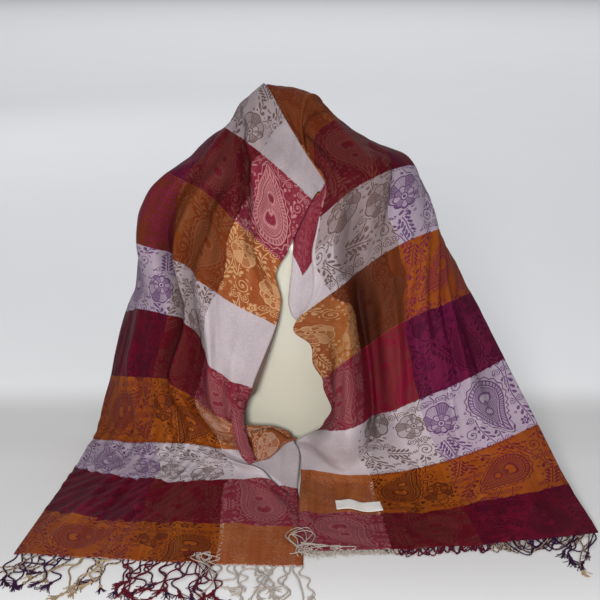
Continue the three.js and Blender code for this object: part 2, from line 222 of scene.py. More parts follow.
# ---------------------------------------------------------------- meshes
def to_metres(points):
    """From the drape's own millimetres to the frame, where the form's box gives the shift."""
    low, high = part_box("bust_form")
    centre = (low + high) / 2
    shift = np.array([centre.x - FORM_CENTRE[0] * MM, centre.y - FORM_CENTRE[1] * MM, 0])
    return np.asarray(points, float) * MM + shift


def add_object(name, data):
    made = bpy.data.objects.new(name, data)
    bpy.context.scene.collection.objects.link(made)
    return made


def new_piece(name, points, faces, material):
    """A smooth piece of the shawl from points in the drape's millimetres."""
    mesh = bpy.data.meshes.new(name)
    mesh.from_pydata(to_metres(points).tolist(), [], faces)
    mesh.update()
    mesh.polygons.foreach_set("use_smooth", [True] * len(mesh.polygons))
    piece = add_object(name, mesh)
    mesh.materials.append(material)
    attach(piece, BODY)
    return piece


def write_attribute(mesh, name, kind, domain, field, values):
    """Stores one value for each point or corner of a mesh."""
    store = mesh.attributes.new(name, kind, domain)
    store.data.foreach_set(field, np.ravel(values).astype(np.float32))


def shell_faces(rows, columns):
    """Quads of a closed shell: two grids of the same size and the rim between them."""
    index = np.arange(rows * columns).reshape(rows, columns)
    under = index + rows * columns
    quads = np.stack([index[:-1, :-1], index[1:, :-1], index[1:, 1:], index[:-1, 1:]], -1)
    low = np.stack([under[:-1, :-1], under[:-1, 1:], under[1:, 1:], under[1:, :-1]], -1)
    faces = quads.reshape(-1, 4).tolist() + low.reshape(-1, 4).tolist()
    for a, b in zip(range(rows - 1), range(1, rows)):
        faces.append([index[a, 0], under[a, 0], under[b, 0], index[b, 0]])
        faces.append([index[a, -1], index[b, -1], under[b, -1], under[a, -1]])
    for a, b in zip(range(columns - 1), range(1, columns)):
        faces.append([index[0, a], index[0, b], under[0, b], under[0, a]])
        faces.append([index[-1, a], under[-1, a], under[-1, b], index[-1, b]])
    return [[int(v) for v in face] for face in faces]


def cloth_places(mesh, bands, across):
    """The cloth's own coordinates in metres, across and along it, at each corner of a shell."""
    along = np.broadcast_to(np.reshape(bands, (len(across), -1)) * BAND, across.shape)
    flat = np.concatenate([np.stack([across, along], -1).reshape(-1, 2)] * 2)
    corners = np.empty(len(mesh.loops), int)
    mesh.loops.foreach_get("vertex_index", corners)
    return flat[corners]


def cloth_shell(name, grid, thickness, bands, across, material):
    """A thin shell on a grid in mm, with a map of the cloth's own coordinates in metres."""
    under = grid - normals_of(grid) * thickness
    under[:, :, 2] = np.maximum(under[:, :, 2], 0)
    under = keep_outside_form(under, LEAST_CLEARANCE)
    points = np.concatenate([grid.reshape(-1, 3), under.reshape(-1, 3)])
    piece = new_piece(name, points, shell_faces(*grid.shape[:2]), material)
    layer = piece.data.uv_layers.new(name="cloth")
    layer.data.foreach_set("uv", np.ravel(cloth_places(piece.data, bands, across)))
    return piece


# How much of the selvedge side is turned under at the opening: band, mm.
TUCKED_EDGE = (
    (5.6, 0), (6.2, 26), (7, 24), (7.6, 0), (8.8, 0), (9, 50), (10, 80), (11, 104), (11.6, 100),
    (11.85, 82), (12.15, 36), (12.55, 0),
)

# How much more cloth lies towards the fold than an even spread would give: band, mm.
SLACK_EDGE = ((3.2, 0), (4, 16), (6, 18), (6.6, 10), (7.2, 0))


def across_cloth(grid, bands):
    """Each point's distance from the selvedge along its row, scaled to the folded width."""
    steps = np.linalg.norm(np.diff(grid, axis=1), axis=2)
    distance = np.concatenate([np.zeros((len(grid), 1)), np.cumsum(steps, axis=1)], axis=1)
    tucked = np.interp(bands, *zip(*TUCKED_EDGE))[:, None] * MM
    slack = np.interp(bands, *zip(*SLACK_EDGE))[:, None] * MM
    share = distance / distance[:, -1:]
    return tucked + share * (FOLDED_WIDTH - tucked) + slack * np.sin(np.pi * share ** 2)


# ---------------------------------------------------------------- where the woven figures lie
FIGURE_KINDS = {"paisley": 1, "rosette": 2, "sprig": 3, "curl": 4, "blossom": 5}
OFF_FIGURE = 9.0

# One repeat of the woven figures, three bands long: the figure, its place across the cloth from
# the selvedge and along it from the start of the repeat, its size in mm, its turn in degrees, and
# whether it is mirrored.
REPEAT_LENGTH = 3 * BAND
FIGURE_REPEAT = (
    ("rosette", 34, 40, 23, 10, 0), ("rosette", 79, 76, 20, 200, 0), ("curl", 78, 28, 12, 40, 0),
    ("sprig", 16, 86, 17, -15, 0), ("blossom", 55, 6, 8, 0, 0), ("paisley", 50, 148, 34, -12, 0),
    ("sprig", 95, 150, 16, 10, 1), ("curl", 13, 182, 11, 200, 0), ("blossom", 12, 130, 8, 20, 0),
    ("blossom", 92, 116, 7, 40, 0), ("rosette", 34, 232, 21, 160, 0),
    ("sprig", 78, 226, 17, -30, 0), ("rosette", 80, 272, 23, 20, 0), ("curl", 30, 282, 13, 90, 1),
    ("blossom", 52, 304, 7, 10, 0), ("sprig", 8, 304, 13, 30, 0),
    ("paisley", 140, 48, 30, 168, 1), ("rosette", 186, 60, 23, 25, 0),
    ("curl", 182, 22, 12, 300, 0), ("sprig", 112, 98, 17, 60, 0), ("blossom", 150, 98, 8, 50, 0),
    ("curl", 200, 100, 11, 100, 0), ("paisley", 166, 150, 31, 12, 0),
    ("curl", 119, 134, 12, 150, 1), ("sprig", 122, 182, 18, 5, 0), ("blossom", 204, 150, 8, 0, 0),
    ("sprig", 204, 196, 15, 130, 1), ("rosette", 140, 232, 24, -12, 0),
    ("rosette", 190, 246, 20, 100, 0), ("curl", 109, 264, 11, 30, 0),
    ("sprig", 160, 284, 17, -70, 0), ("curl", 197, 288, 12, 20, 1),
    ("blossom", 112, 298, 8, 30, 0), ("paisley", 288, 52, 31, 76, 0),
    ("sprig", 226, 22, 17, 30, 0), ("blossom", 225, 86, 8, 0, 0), ("curl", 332, 26, 13, 250, 0),
    ("sprig", 337, 84, 17, 170, 1), ("rosette", 244, 122, 24, 60, 0),
    ("rosette", 337, 120, 15, 140, 0), ("paisley", 300, 176, 30, 188, 1),
    ("sprig", 262, 170, 17, -35, 0), ("curl", 222, 168, 12, 120, 0),
    ("blossom", 339, 198, 8, 15, 0), ("curl", 262, 213, 12, 330, 1),
    ("blossom", 224, 206, 8, 70, 0), ("rosette", 231, 250, 24, 190, 0),
    ("paisley", 300, 250, 31, 6, 0), ("curl", 263, 292, 12, 60, 0),
    ("sprig", 227, 297, 17, 20, 1), ("blossom", 337, 304, 8, 40, 0),
)

# Bands whose selvedge side, this wide in metres, has no figures.
PLAIN_BANDS = ((0, 1), (9, 11), (15, 16))
PLAIN_WIDTH = 0.104

# Stems that wander along the cloth between the figures: place across, swing and wave length in mm,
# and phase.
STEMS = (
    (10, 7, 159, 1.2), (36, 12, 106, 2.6), (62, 24, 212, 0.3), (84, 10, 159, 5),
    (106, 12, 159, 2.1), (132, 14, 106, 1), (158, 22, 212, 4), (183, 10, 159, 3),
    (208, 14, 159, 0.9), (231, 12, 106, 5.6), (254, 22, 212, 3.2), (286, 12, 159, 0.2),
    (318, 20, 159, 5.1), (342, 4, 106, 2),
)


def figure_places(first_band, last_band):
    """Every figure of the repeats between two bands, in metres and radians."""
    places = []
    for repeat in range(math.floor(first_band / 3), math.ceil(last_band / 3)):
        for figure, across, along, size, turn, mirrored in FIGURE_REPEAT:
            place = repeat * REPEAT_LENGTH + along * MM
            band = place / BAND
            plain = any(start - 0.1 <= band <= end + 0.1 for start, end in PLAIN_BANDS)
            if plain and across * MM - size * MM < PLAIN_WIDTH:
                continue
            places.append((FIGURE_KINDS[figure], across * MM, place, size * MM,
                           math.radians(turn), -1 if mirrored else 1))
    return np.array(places)


def stem_across(row, along):
    """A stem's place across the cloth in metres."""
    across, swing, wave, phase = row
    return (across + swing * np.sin(2 * np.pi * along / (wave * MM) + phase)) * MM


def stem_slope(row, along):
    _, swing, wave, phase = row
    return 2 * np.pi * swing / wave * np.cos(2 * np.pi * along / (wave * MM) + phase)


def nearest_of(distances, count, limit):
    """Which of several things lies nearest to each of some places, or -1 beyond the limit."""
    least = np.full(count, limit)
    chosen = np.full(count, -1)
    for number, distance in enumerate(distances):
        closer = distance < least
        least[closer] = distance[closer]
        chosen[closer] = number
    return chosen


def figure_distance(figure, centres):
    """Distance from a figure's middle as a share of its reach; a paisley stands taller."""
    kind, x, y, size, turn, mirrored = figure
    reach, lift = (2.1, 0.45) if kind == FIGURE_KINDS["paisley"] else (1.25, 0)
    middle_x = x - math.sin(turn) * lift * size * mirrored
    middle_y = y + math.cos(turn) * lift * size
    return np.hypot(centres[:, 0] - middle_x, centres[:, 1] - middle_y) / (size * reach)


def mark_figures(piece, bands, across):
    """Gives each corner its place within the figure it belongs to, and beside the nearest stem."""
    mesh = piece.data
    flat = cloth_places(mesh, bands, across)
    totals = np.empty(len(mesh.polygons), int)
    mesh.polygons.foreach_get("loop_total", totals)
    owner = np.repeat(np.arange(len(totals)), totals)
    centres = np.stack([np.bincount(owner, flat[:, k]) / totals for k in (0, 1)], 1)

    figures = figure_places(bands.min(), bands.max())
    chosen = nearest_of((figure_distance(figure, centres) for figure in figures), len(centres), 1.0)
    inside = chosen[owner] >= 0
    kind, x, y, size, turn, mirrored = figures[chosen[owner][inside]].T
    dx = (flat[inside, 0] - x) * mirrored
    dy = flat[inside, 1] - y
    local = np.tile((OFF_FIGURE, OFF_FIGURE, 0.0), (len(flat), 1))
    local[inside, 0] = (np.cos(turn) * dx + np.sin(turn) * dy) / size
    local[inside, 1] = (-np.sin(turn) * dx + np.cos(turn) * dy) / size
    local[inside, 2] = kind
    write_attribute(mesh, "figure", "FLOAT_VECTOR", "CORNER", "vector", local)

    stem = nearest_of((np.abs(centres[:, 0] - stem_across(row, centres[:, 1])) for row in STEMS),
                      len(centres), np.inf)
    table = np.array(STEMS)[stem[owner]].T
    offset = flat[:, 0] - stem_across(table, flat[:, 1])
    offset /= np.sqrt(1 + stem_slope(table, flat[:, 1]) ** 2)
    trail = np.stack([offset / MM, flat[:, 1] / MM, stem[owner]], 1)
    write_attribute(mesh, "stem", "FLOAT_VECTOR", "CORNER", "vector", trail)


# ---------------------------------------------------------------- arithmetic written as nodes
def written(operation, turned=False):
    """A method that writes one maths node for a value and those it is given."""
    def write(self, *others):
        values = (*others, self) if turned else (self, *others)
        return self.draft.math(operation, *values)
    return write


class Term:
    """A value in a node tree that can be added, multiplied and compared."""

    def __init__(self, draft, socket):
        self.draft = draft
        self.socket = socket

    __add__ = __radd__ = written("ADD")
    __sub__ = written("SUBTRACT")
    __rsub__ = written("SUBTRACT", turned=True)
    __mul__ = __rmul__ = written("MULTIPLY")
    __truediv__ = written("DIVIDE")
    size = written("ABSOLUTE")
    fract = written("FRACT")
    sine = written("SINE")
    root = written("SQRT")
    below = written("LESS_THAN")
    above = written("GREATER_THAN")
    most = written("MAXIMUM")

    def near(self, value, reach):
        return (self - value).size().below(reach)

    def without(self, other):
        return self * (1 - other)


class Draft:
    """Writes the nodes of one tree."""

    def __init__(self, tree):
        self.tree = tree

    def node(self, kind, **settings):
        node = self.tree.nodes.new(kind)
        for name, value in settings.items():
            setattr(node, name, value)
        return node

    def feed(self, socket, value):
        if isinstance(value, Term):
            self.tree.links.new(value.socket, socket)
        else:
            socket.default_value = value

    def math(self, operation, *values):
        node = self.node("ShaderNodeMath", operation=operation)
        for socket, value in zip(node.inputs, values):
            self.feed(socket, value)
        return Term(self, node.outputs[0])

    def length(self, x, y):
        return (x * x + y * y).root()

    def angle(self, x, y):
        """The angle round the origin in turns, from -0.5 to 0.5."""
        return self.math("ARCTAN2", y, x) / (2 * math.pi)

    def choose(self, mask, otherwise, chosen):
        return otherwise + mask * (chosen - otherwise)

    def parts(self, vector):
        node = self.node("ShaderNodeSeparateXYZ")
        self.feed(node.inputs[0], vector)
        return [Term(self, socket) for socket in node.outputs]

    def attribute(self, name):
        node = self.node("ShaderNodeAttribute", attribute_name=name)
        return self.parts(Term(self, node.outputs["Vector"]))

    def cloth_map(self):
        return Term(self, self.node("ShaderNodeUVMap", uv_map="cloth").outputs[0])

    def object_place(self):
        return Term(self, self.node("ShaderNodeTexCoord").outputs["Object"])

    def mix(self, share, first, second):
        node = self.node("ShaderNodeMix", data_type="RGBA")
        self.feed(node.inputs[0], share)
        self.feed(node.inputs[6], first)
        self.feed(node.inputs[7], second)
        return Term(self, node.outputs[2])

    def noise(self, place, scale, detail=2.0, roughness=0.5):
        node = self.node("ShaderNodeTexNoise")
        self.feed(node.inputs["Vector"], place)
        node.inputs["Scale"].default_value = scale
        node.inputs["Detail"].default_value = detail
        node.inputs["Roughness"].default_value = roughness
        return Term(self, node.outputs[0])

    def place(self, x, y, z=0.0):
        node = self.node("ShaderNodeCombineXYZ")
        for socket, value in zip(node.inputs, (x, y, z)):
            self.feed(socket, value)
        return Term(self, node.outputs[0])

    def steps(self, value, stops):
        """A ramp of plain steps: each colour holds from its place to the next one's."""
        node = self.node("ShaderNodeValToRGB")
        ramp = node.color_ramp
        ramp.interpolation = "CONSTANT"
        while len(ramp.elements) < len(stops):
            ramp.elements.new(0.5)
        for element, (place, colour) in zip(ramp.elements, stops):
            element.position = place
            element.color = tuple(colour)[:3] + (1,)
        self.feed(node.inputs[0], value)
        return Term(self, node.outputs[0])


# ---------------------------------------------------------------- the figures, size 1 round 0
def draw_paisley(d, x, y):
    """A drop with a bent tip, a ladder border and a hatched heart with flowers in it."""
    lift = y.most(0.0)
    bent = x - lift * lift * 0.2
    side = bent.size()
    taper = 0.46
    level = math.sqrt(1 - taper * taper)
    height = 1.75
    along = y * level - side * taper
    low = d.length(side, y) - 0.88
    high = d.length(side, y - height) - (0.88 - taper * height)
    flank = side * level + y * taper - 0.88
    edge = d.choose(along.below(0.0), flank, low)
    edge = d.choose(along.above(level * height), edge, high)
    turn = d.angle(bent, y - 0.35)
    rungs = (turn * 44).fract().below(0.42)
    outline = edge.near(-0.01, 0.028).most(edge.near(-0.21, 0.026)).most(edge.near(-0.29, 0.016))
    ladder = edge.near(-0.11, 0.1) * (rungs * 0.7 + 0.22)
    petals = (turn * 5 * 2 * math.pi).sine() * 0.07
    radius = d.length(bent, y + 0.1)
    star = radius.below(petals + 0.2)
    ring = (radius - petals).near(0.27, 0.035)
    upper = d.length(bent + 0.03, y - 0.6)
    small_star = upper.below((turn * 40).sine() * 0.03 + 0.12)
    small_ring = upper.near(0.19, 0.025)
    hatch = ((x + y) * 9).fract().below(0.5) * 0.35 + 0.38
    heart = (hatch * edge.below(-0.29)).most(ring).most(small_ring)
    scales = ((turn * 19).fract() - 0.5).size() * 0.2
    frill = (edge - scales).near(0.07, 0.026)
    figure = outline.most(ladder).most(heart).most(frill)
    return figure.without(star.most(small_star)), edge.below(0.24)


def draw_rosette(d, x, y):
    """A round flower whose lightly filled petals fan out from a low heart."""
    low = y + 0.3
    radius = d.length(x, y)
    reach = d.length(x, low)
    turn = d.angle(x, low)
    scallop = (turn * 9 * math.pi).sine().size() * 0.1
    shape = radius - scallop
    rim = shape.near(0.84, 0.04)
    collar = (reach - scallop).near(0.5, 0.032)
    spoke = ((turn * 9).fract() - 0.5).size()
    dividers = (spoke * reach).above(0.5 * reach - 0.028) * reach.above(0.22) * shape.below(0.84)
    shade = (turn * 4.5).fract().below(0.5) * 0.5 + 0.14
    fill = shade * shape.below(0.8) * reach.above(0.26)
    veins = (turn * 45).fract().below(0.4) * 0.3
    veins = veins * (reach - scallop).above(0.56) * shape.below(0.76)
    heart = reach.near(0.2, 0.035).most(reach.below(0.09))
    figure = (fill + veins).most(rim).most(collar).most(dividers).most(heart)
    return figure, shape.below(0.95)


def draw_leaves(d, x, y, pitch, reach, width):
    """Paired leaves that slant up on both sides of a stem along y."""
    step = ((y / pitch + x.above(0.0) * 0.5).fract() - 0.5) * pitch
    out = x.size() - reach * 0.52
    along = out * 0.62 + step * 0.78
    aside = step * 0.62 - out * 0.78
    return d.length(along / (reach * 0.56), aside / (width + along * width / reach * 0.7))


def draw_sprig(d, x, y):
    """A small twig with paired leaves and a bud."""
    bent = x - (y * 1.7).sine() * 0.12
    stem = bent.size().below(0.045) * y.size().below(0.85)
    leaf = draw_leaves(d, bent, y, 0.36, 0.6, 0.1)
    leaves = leaf.below(1.0) * y.size().below(0.85)
    bud = d.length(bent * 1.3, y - 0.92)
    buds = bud.below(0.2).without(bud.near(0.12, 0.03))
    return stem.most(leaves).most(buds), bent.size().below(0.5) * y.size().below(1.05)


def draw_curl(d, x, y):
    """A tendril that winds up into its middle, with a few dots round it."""
    radius = d.length(x, y)
    turn = d.angle(x, y)
    winding = ((radius * 2.2 - turn).fract() - 0.5).size()
    tendril = winding.above(0.38) * radius.below(0.85)
    dots = ((turn * 7).fract() - 0.5).size().below(0.2) * radius.near(1.02, 0.07)
    return tendril.most(radius.below(0.13)).most(dots), radius.below(1.1)


def draw_blossom(d, x, y):
    """A small flower of five petals."""
    radius = d.length(x, y)
    petals = (d.angle(x, y) * 5 * math.pi).sine().size() * 0.42
    shape = radius - petals
    return shape.below(0.42).without(radius.near(0.24, 0.07)), shape.below(0.6)


FIGURES = {"paisley": draw_paisley, "rosette": draw_rosette, "sprig": draw_sprig,
           "curl": draw_curl, "blossom": draw_blossom}


def figure_group(name, draw):
    """A node group that draws one figure from a place within it."""
    tree = bpy.data.node_groups.new(name, "ShaderNodeTree")
    for label in ("Across", "Up"):
        tree.interface.new_socket(label, in_out="INPUT", socket_type="NodeSocketFloat")
    for label in ("Figure", "Body"):
        tree.interface.new_socket(label, in_out="OUTPUT", socket_type="NodeSocketFloat")
    draft = Draft(tree)
    entry = draft.node("NodeGroupInput")
    leave = draft.node("NodeGroupOutput")
    places = [Term(draft, socket) for socket in entry.outputs[:2]]
    for socket, value in zip(leave.inputs, draw(draft, *places)):
        draft.feed(socket, value)
    return tree


def drawn(draft, tree, x, y):
    node = draft.node("ShaderNodeGroup", node_tree=tree)
    draft.feed(node.inputs[0], x)
    draft.feed(node.inputs[1], y)
    return Term(draft, node.outputs[0]), Term(draft, node.outputs[1])


def draw_vine(d, offset, along):
    """A stem with paired leaves and tendrils, in mm beside and along it."""
    stem = offset.size().below(0.7)
    leaves = draw_leaves(d, offset, along, 9.0, 8.0, 1.9).below(1.0)
    sparse = (along / 47).fract().below(0.6)
    step = ((along / 47).fract() - 0.8) * 47
    side = offset.size() - 6.0
    radius = d.length(side, step)
    winding = ((radius / 2.7 - d.angle(side, step)).fract() - 0.5).size().above(0.31)
    tendril = winding * radius.below(5.6)
    buds = d.length(offset.size() - 11.5, ((along / 15.5).fract() - 0.5) * 15.5)
    bud = buds.below(1.9).without(buds.below(0.7))
    return stem.most(leaves * sparse).most(tendril).most(bud)


# ---------------------------------------------------------------- materials
def start_material(name, roughness):
    """A material with its shader, and the draft of its nodes."""
    material = bpy.data.materials.new(name)
    material.use_nodes = True
    shader = material.node_tree.nodes["Principled BSDF"]
    shader.inputs["Roughness"].default_value = roughness
    return material, Draft(material.node_tree), shader


def raise_relief(draft, shader, height, distance, strength=1.0):
    bump = draft.node("ShaderNodeBump")
    bump.inputs["Strength"].default_value = strength
    bump.inputs["Distance"].default_value = distance
    draft.feed(bump.inputs["Height"], height)
    draft.tree.links.new(bump.outputs[0], shader.inputs["Normal"])


def colour(r, g, b):
    """A linear colour from everyday 0 to 255 values."""
    def linear(value):
        share = value / 255
        return share / 12.92 if share <= 0.04045 else ((share + 0.055) / 1.055) ** 2.4
    return (linear(r), linear(g), linear(b), 1.0)


def opaque(tint):
    return (*tint, 1.0)


JACQUARD = "woven jacquard"
WARP_ZONES = (0, 0.3, 0.6)
WEFT_THIRDS = (0, 1 / 3, 2 / 3)
WHOLE = (-1, 2)

# How much warp shows on the amber, burgundy and silver wefts, for each warp zone.
WARP_SHOWN = ((0.05, 0.04, 0.07), (0.03, 0.03, 0.05), (0.03, 0.04, 0.3))

# Colours of the woven figures in the three warp zones.
FIGURE_TINTS = {
    "amber hem": ((192, 154, 134), (62, 18, 16), (92, 18, 42)),
    "amber shoulder": ((200, 156, 112), (118, 70, 42), (112, 26, 58)),
    "burgundy hem": ((150, 92, 94), (98, 42, 38), (58, 6, 30)),
    "burgundy shoulder": ((178, 122, 124), (110, 54, 47), (66, 8, 44)),
    "silver": ((194, 182, 186), (96, 74, 68), (84, 44, 98)),
}
# Colours of painted light and shade: the wefts' lit colours for painted sheen and highlights, a
# brighter burgundy, and the tints of painted shade on the amber, over the cloth and in the fold
# valleys.
LIT_WEFT = ((208, 128, 36), (150, 18, 52), (214, 206, 212))
BRIGHT_BURGUNDY = (150, 20, 62)
AMBER_SHADE_TINT = (94, 32, 12)
SHADE_TINT = (52, 22, 22)
VALLEY_SHADE_TINT = (30, 6, 8)

# Patches of painted shade and painted light on the cloth, and a few of its own tone and figure
# strength:
# how much, the middle and the half length in bands, and the share across where it starts and ends.
SHOULDERS = (9.45, 3.55)
# Painted shade on the silver bands of the shoulders, taken back beside the opening's edge.
SHADED_SILVER = ((0.26, 9, 4, 0.3, 0.6), (0.22, 12, 1, 0.3, 0.6), (-0.384, 12.2, 0.8, 0.3, 0.37))
VIOLET_BURGUNDY = ((0.13, 13.5, 0.5, 0.6, 2), (0.08, 7.5, 0.5, 0.6, 2))
# The first patch brightens the burgundy's own colour beside the selvedge; the second is painted
# light beside the opening on the right fall.
BRIGHTER_AND_LIT_BURGUNDY = ((0.4, 8.5, 9.5, -1, 0.3), (0.4, 13.5, 0.5, 0.3, 0.6))
# Painted shade on the amber of the shoulders and beside the opening on the right fall.
SHADED_AMBER = (
    (0.1, *SHOULDERS, 0.3, 2), (0.34, *SHOULDERS, 0.3, 0.6), (0.46, 8.2, 2.3, 0.3, 2),
    (0.6, 6.45, 0.55, 0.6, 2), (0.4, 12.5, 0.5, 0.3, 0.55),
)
# Painted shade round the nape and beside the opening on the right fall.
SHADED = (
    (0.16, 8.5, 0.5, -1, 0.6), (0.12, 8.5, 0.5, -1, 0.3), (0.1, 11.5, 0.5, 0.3, 0.6),
    (0.24, 12.5, 0.5, -1, 0.6), (0.16, 12.5, 0.5, 0.3, 0.6), (0.18, 13.5, 0.5, -1, 0.3),
)
SHADED_BURGUNDY = ((0.24, 9.45, 2.55, 0.3, 2),)
FAINT_FIGURES = ((0.4, 9.5, 0.5, *WHOLE),)
# Less painted shade in the fold valleys of band 13 to 14.
LIGHTER_VALLEY_SHADE = ((0.52, 13.5, 0.5, *WHOLE),)


def make_jacquard(settings):
    """Woven bands across warp stripes, with the figures in the warp's colours, painted sheen and
    highlights on the ridges, and painted shade in the valleys and over parts of the shoulders.
    """
    material, d, shader = start_material(JACQUARD, 0.46)
    across, along, _ = d.parts(d.cloth_map())
    band = along / BAND
    share = across / FOLDED_WIDTH

    def cloth_noise(stretch, *scale):
        return d.noise(d.place(across, along * stretch), *scale)

    waver = d.noise(d.place(across * 6, along), 40.0, 2.0)
    fleck = cloth_noise(0.25, 900.0, 1.0)
    streak = cloth_noise(0.04, 120.0, 2.0)
    worn = cloth_noise(1.0, 22.0, 3.0)
    grain = cloth_noise(0.7, 620.0, 3.0, 0.7)
    crumple = cloth_noise(0.6, 85.0, 2.0)
    # The fold rise stored on the cloth sets painted highlights on the ridges and painted shade in
    # the valleys.
    fold_light_and_shade, _, _ = d.attribute("fold_light_and_shade")
    ridge_highlight, valley_shade = fold_light_and_shade.most(0.0), (0 - fold_light_and_shade).most(0.0)

    figure_x, figure_y, kind = d.attribute("figure")
    figure, body = 0.0, 0.0
    for name, draw in FIGURES.items():
        drawing, room = drawn(d, figure_group(name, draw), figure_x, figure_y)
        own = kind.near(float(FIGURE_KINDS[name]), 0.3)
        figure, body = drawing * own + figure, room * own + body
    offset, beside, _ = d.attribute("stem")
    figure = figure.most(draw_vine(d, offset, beside).without(body))

    place_in_three = ((band + (waver - 0.5) * 0.02) / 3).fract()
    on_amber = place_in_three.below(WEFT_THIRDS[1])
    on_silver = place_in_three.above(WEFT_THIRDS[2])
    on_burgundy = 1 - on_amber - on_silver
    warp_share = share + (waver - 0.5) * 0.004

    def zones(tints):
        return d.steps(warp_share, tuple(zip(WARP_ZONES, tints)))

    def figure_tint(name):
        return zones([colour(*tint) for tint in FIGURE_TINTS[name]])

    def patches(table):
        total = 0.0
        for strength, middle, reach, low, high in table:
            patch = band.near(middle, reach) * share.above(low) * share.below(high)
            total = patch * strength + total
        return total

    warp = zones((settings.cream, settings.taupe, settings.purple))
    weft = d.steps(place_in_three, tuple(zip(
        WEFT_THIRDS, (settings.amber, settings.burgundy, settings.silver))))
    raised = d.steps(place_in_three, tuple(zip(WEFT_THIRDS, [colour(*t) for t in LIT_WEFT])))
    weft = d.mix(on_burgundy * patches(BRIGHTER_AND_LIT_BURGUNDY), weft, colour(*BRIGHT_BURGUNDY))
    # Painted sheen: the weft turns towards its lit colour in random streaks and, as a painted
    # highlight, on the fold ridges.
    painted_sheen = (streak - 0.5) * 0.5 + (worn - 0.5) * 0.6 + ridge_highlight * 0.55 + 0.05
    weft = d.mix(painted_sheen.most(0.0), weft, raised)
    # Painted shade on the shoulders' amber, taken back on the fold ridges.
    amber_shade = on_amber * patches(SHADED_AMBER) * (0.95 - ridge_highlight * 0.4)
    weft = d.mix(amber_shade, weft, colour(*AMBER_SHADE_TINT))

    shown = d.node("ShaderNodeSeparateColor")
    d.feed(shown.inputs[0], zones(WARP_SHOWN))
    warp_and_silver_shade = (fleck - 0.5) * 0.2 + (streak - 0.5) * 0.08
    for socket, on_weft in zip(shown.outputs, (on_amber, on_burgundy, on_silver)):
        warp_and_silver_shade = warp_and_silver_shade + Term(d, socket) * on_weft
    # The silver patches add warp to the silver as painted shade; the burgundy ones show more purple
    # warp.
    warp_and_silver_shade = warp_and_silver_shade + on_silver * patches(SHADED_SILVER) + on_burgundy * patches(VIOLET_BURGUNDY)
    ground = d.mix(warp_and_silver_shade.most(0.0), weft, warp)

    plain = 0.0
    for start, end in PLAIN_BANDS:
        plain = band.near((start + end) / 2, (end - start) / 2) + plain
    plain = plain * share.below(PLAIN_WIDTH / FOLDED_WIDTH - 0.01)
    figure = figure * (1 - plain * 0.85) * (1 - patches(FAINT_FIGURES))
    high_up = band.near(*SHOULDERS)
    amber_tint = d.mix(high_up, figure_tint("amber hem"), figure_tint("amber shoulder"))
    burgundy_tint = d.mix(high_up, figure_tint("burgundy hem"), figure_tint("burgundy shoulder"))
    tint = d.mix(on_silver, amber_tint, figure_tint("silver"))
    tint = d.mix(on_burgundy, tint, burgundy_tint)
    cloth = d.mix(figure * (0.9 + (fleck - 0.5) * 0.5), ground, tint)

    # Painted shade: random mottling, the listed patches, a fall-off towards the outer fold and on
    # the shoulders' burgundy.
    shade = (worn - 0.5) * 0.3 + (grain - 0.5) * 0.55 + 0.12 + patches(SHADED)
    shade = shade + (share - 0.82).most(0.0) * (1.3 - on_silver)
    shade = shade + on_burgundy * patches(SHADED_BURGUNDY)
    cloth = d.mix(shade.most(0.0), cloth, colour(*SHADE_TINT))
    # Painted shade in the fold valleys, less of it on band 13 to 14.
    cloth = d.mix(valley_shade * (0.66 - patches(LIGHTER_VALLEY_SHADE)), cloth, colour(*VALLEY_SHADE_TINT))
    d.feed(shader.inputs["Base Color"], cloth)
    d.feed(shader.inputs["Roughness"], 0.5 - figure * 0.06 + (grain - 0.5) * 0.2)
    shader.inputs["Metallic"].default_value = 0.12
    shader.inputs["Specular IOR Level"].default_value = 0.05
    twill = ((across + along) * 1100).fract() + ((across - along) * 700).fract() * 0.4
    raise_relief(d, shader, twill * 0.12 + crumple * 0.7 + grain * 0.5, 0.0011, 0.8)
    return material


def make_shaded_twill(settings):
    """The lower layer's inner side, in a dark brown that is painted shade, with a faint twill."""
    material, d, shader = start_material("shaded inner side twill", 0.6)
    ribs = d.noise(d.cloth_map(), 500.0, 2.0)
    tint = d.mix(ribs * 0.8, opaque(settings.shaded_inner_side), colour(60, 42, 34))
    d.feed(shader.inputs["Base Color"], tint)
    raise_relief(d, shader, ribs, 0.0005, 0.6)
    return material


def make_form_plastic(settings):
    """Cream plastic with a soft gloss and a faint cloud in its colour."""
    material, d, shader = start_material("cream gloss plastic", 0.16)
    cloud = d.noise(d.object_place(), 7.0, 3.0)
    fine = d.noise(d.object_place(), 160.0, 2.0)
    tint = d.mix(cloud * 0.5, opaque(settings.form_cream), colour(214, 208, 184))
    d.feed(shader.inputs["Base Color"], tint)
    d.feed(shader.inputs["Roughness"], 0.13 + fine * 0.08)
    shader.inputs["Coat Weight"].default_value = 0.25
    raise_relief(d, shader, fine, 0.0002, 0.4)
    return material


def make_label_satin(settings):
    """White ribbed satin, a little soiled."""
    material, d, shader = start_material("white label satin", 0.5)
    x, y, _ = d.parts(d.cloth_map())
    ribs = (x * 1400).fract() + (y * 900).fract() * 0.5
    soil = d.noise(d.cloth_map(), 60.0, 3.0)
    tint = d.mix(soil * 0.45, opaque(settings.label_white), colour(190, 184, 178))
    d.feed(shader.inputs["Base Color"], tint)
    shader.inputs["Sheen Weight"].default_value = 0.2
    raise_relief(d, shader, ribs * 0.3 + soil * 2, 0.0006, 0.6)
    return material


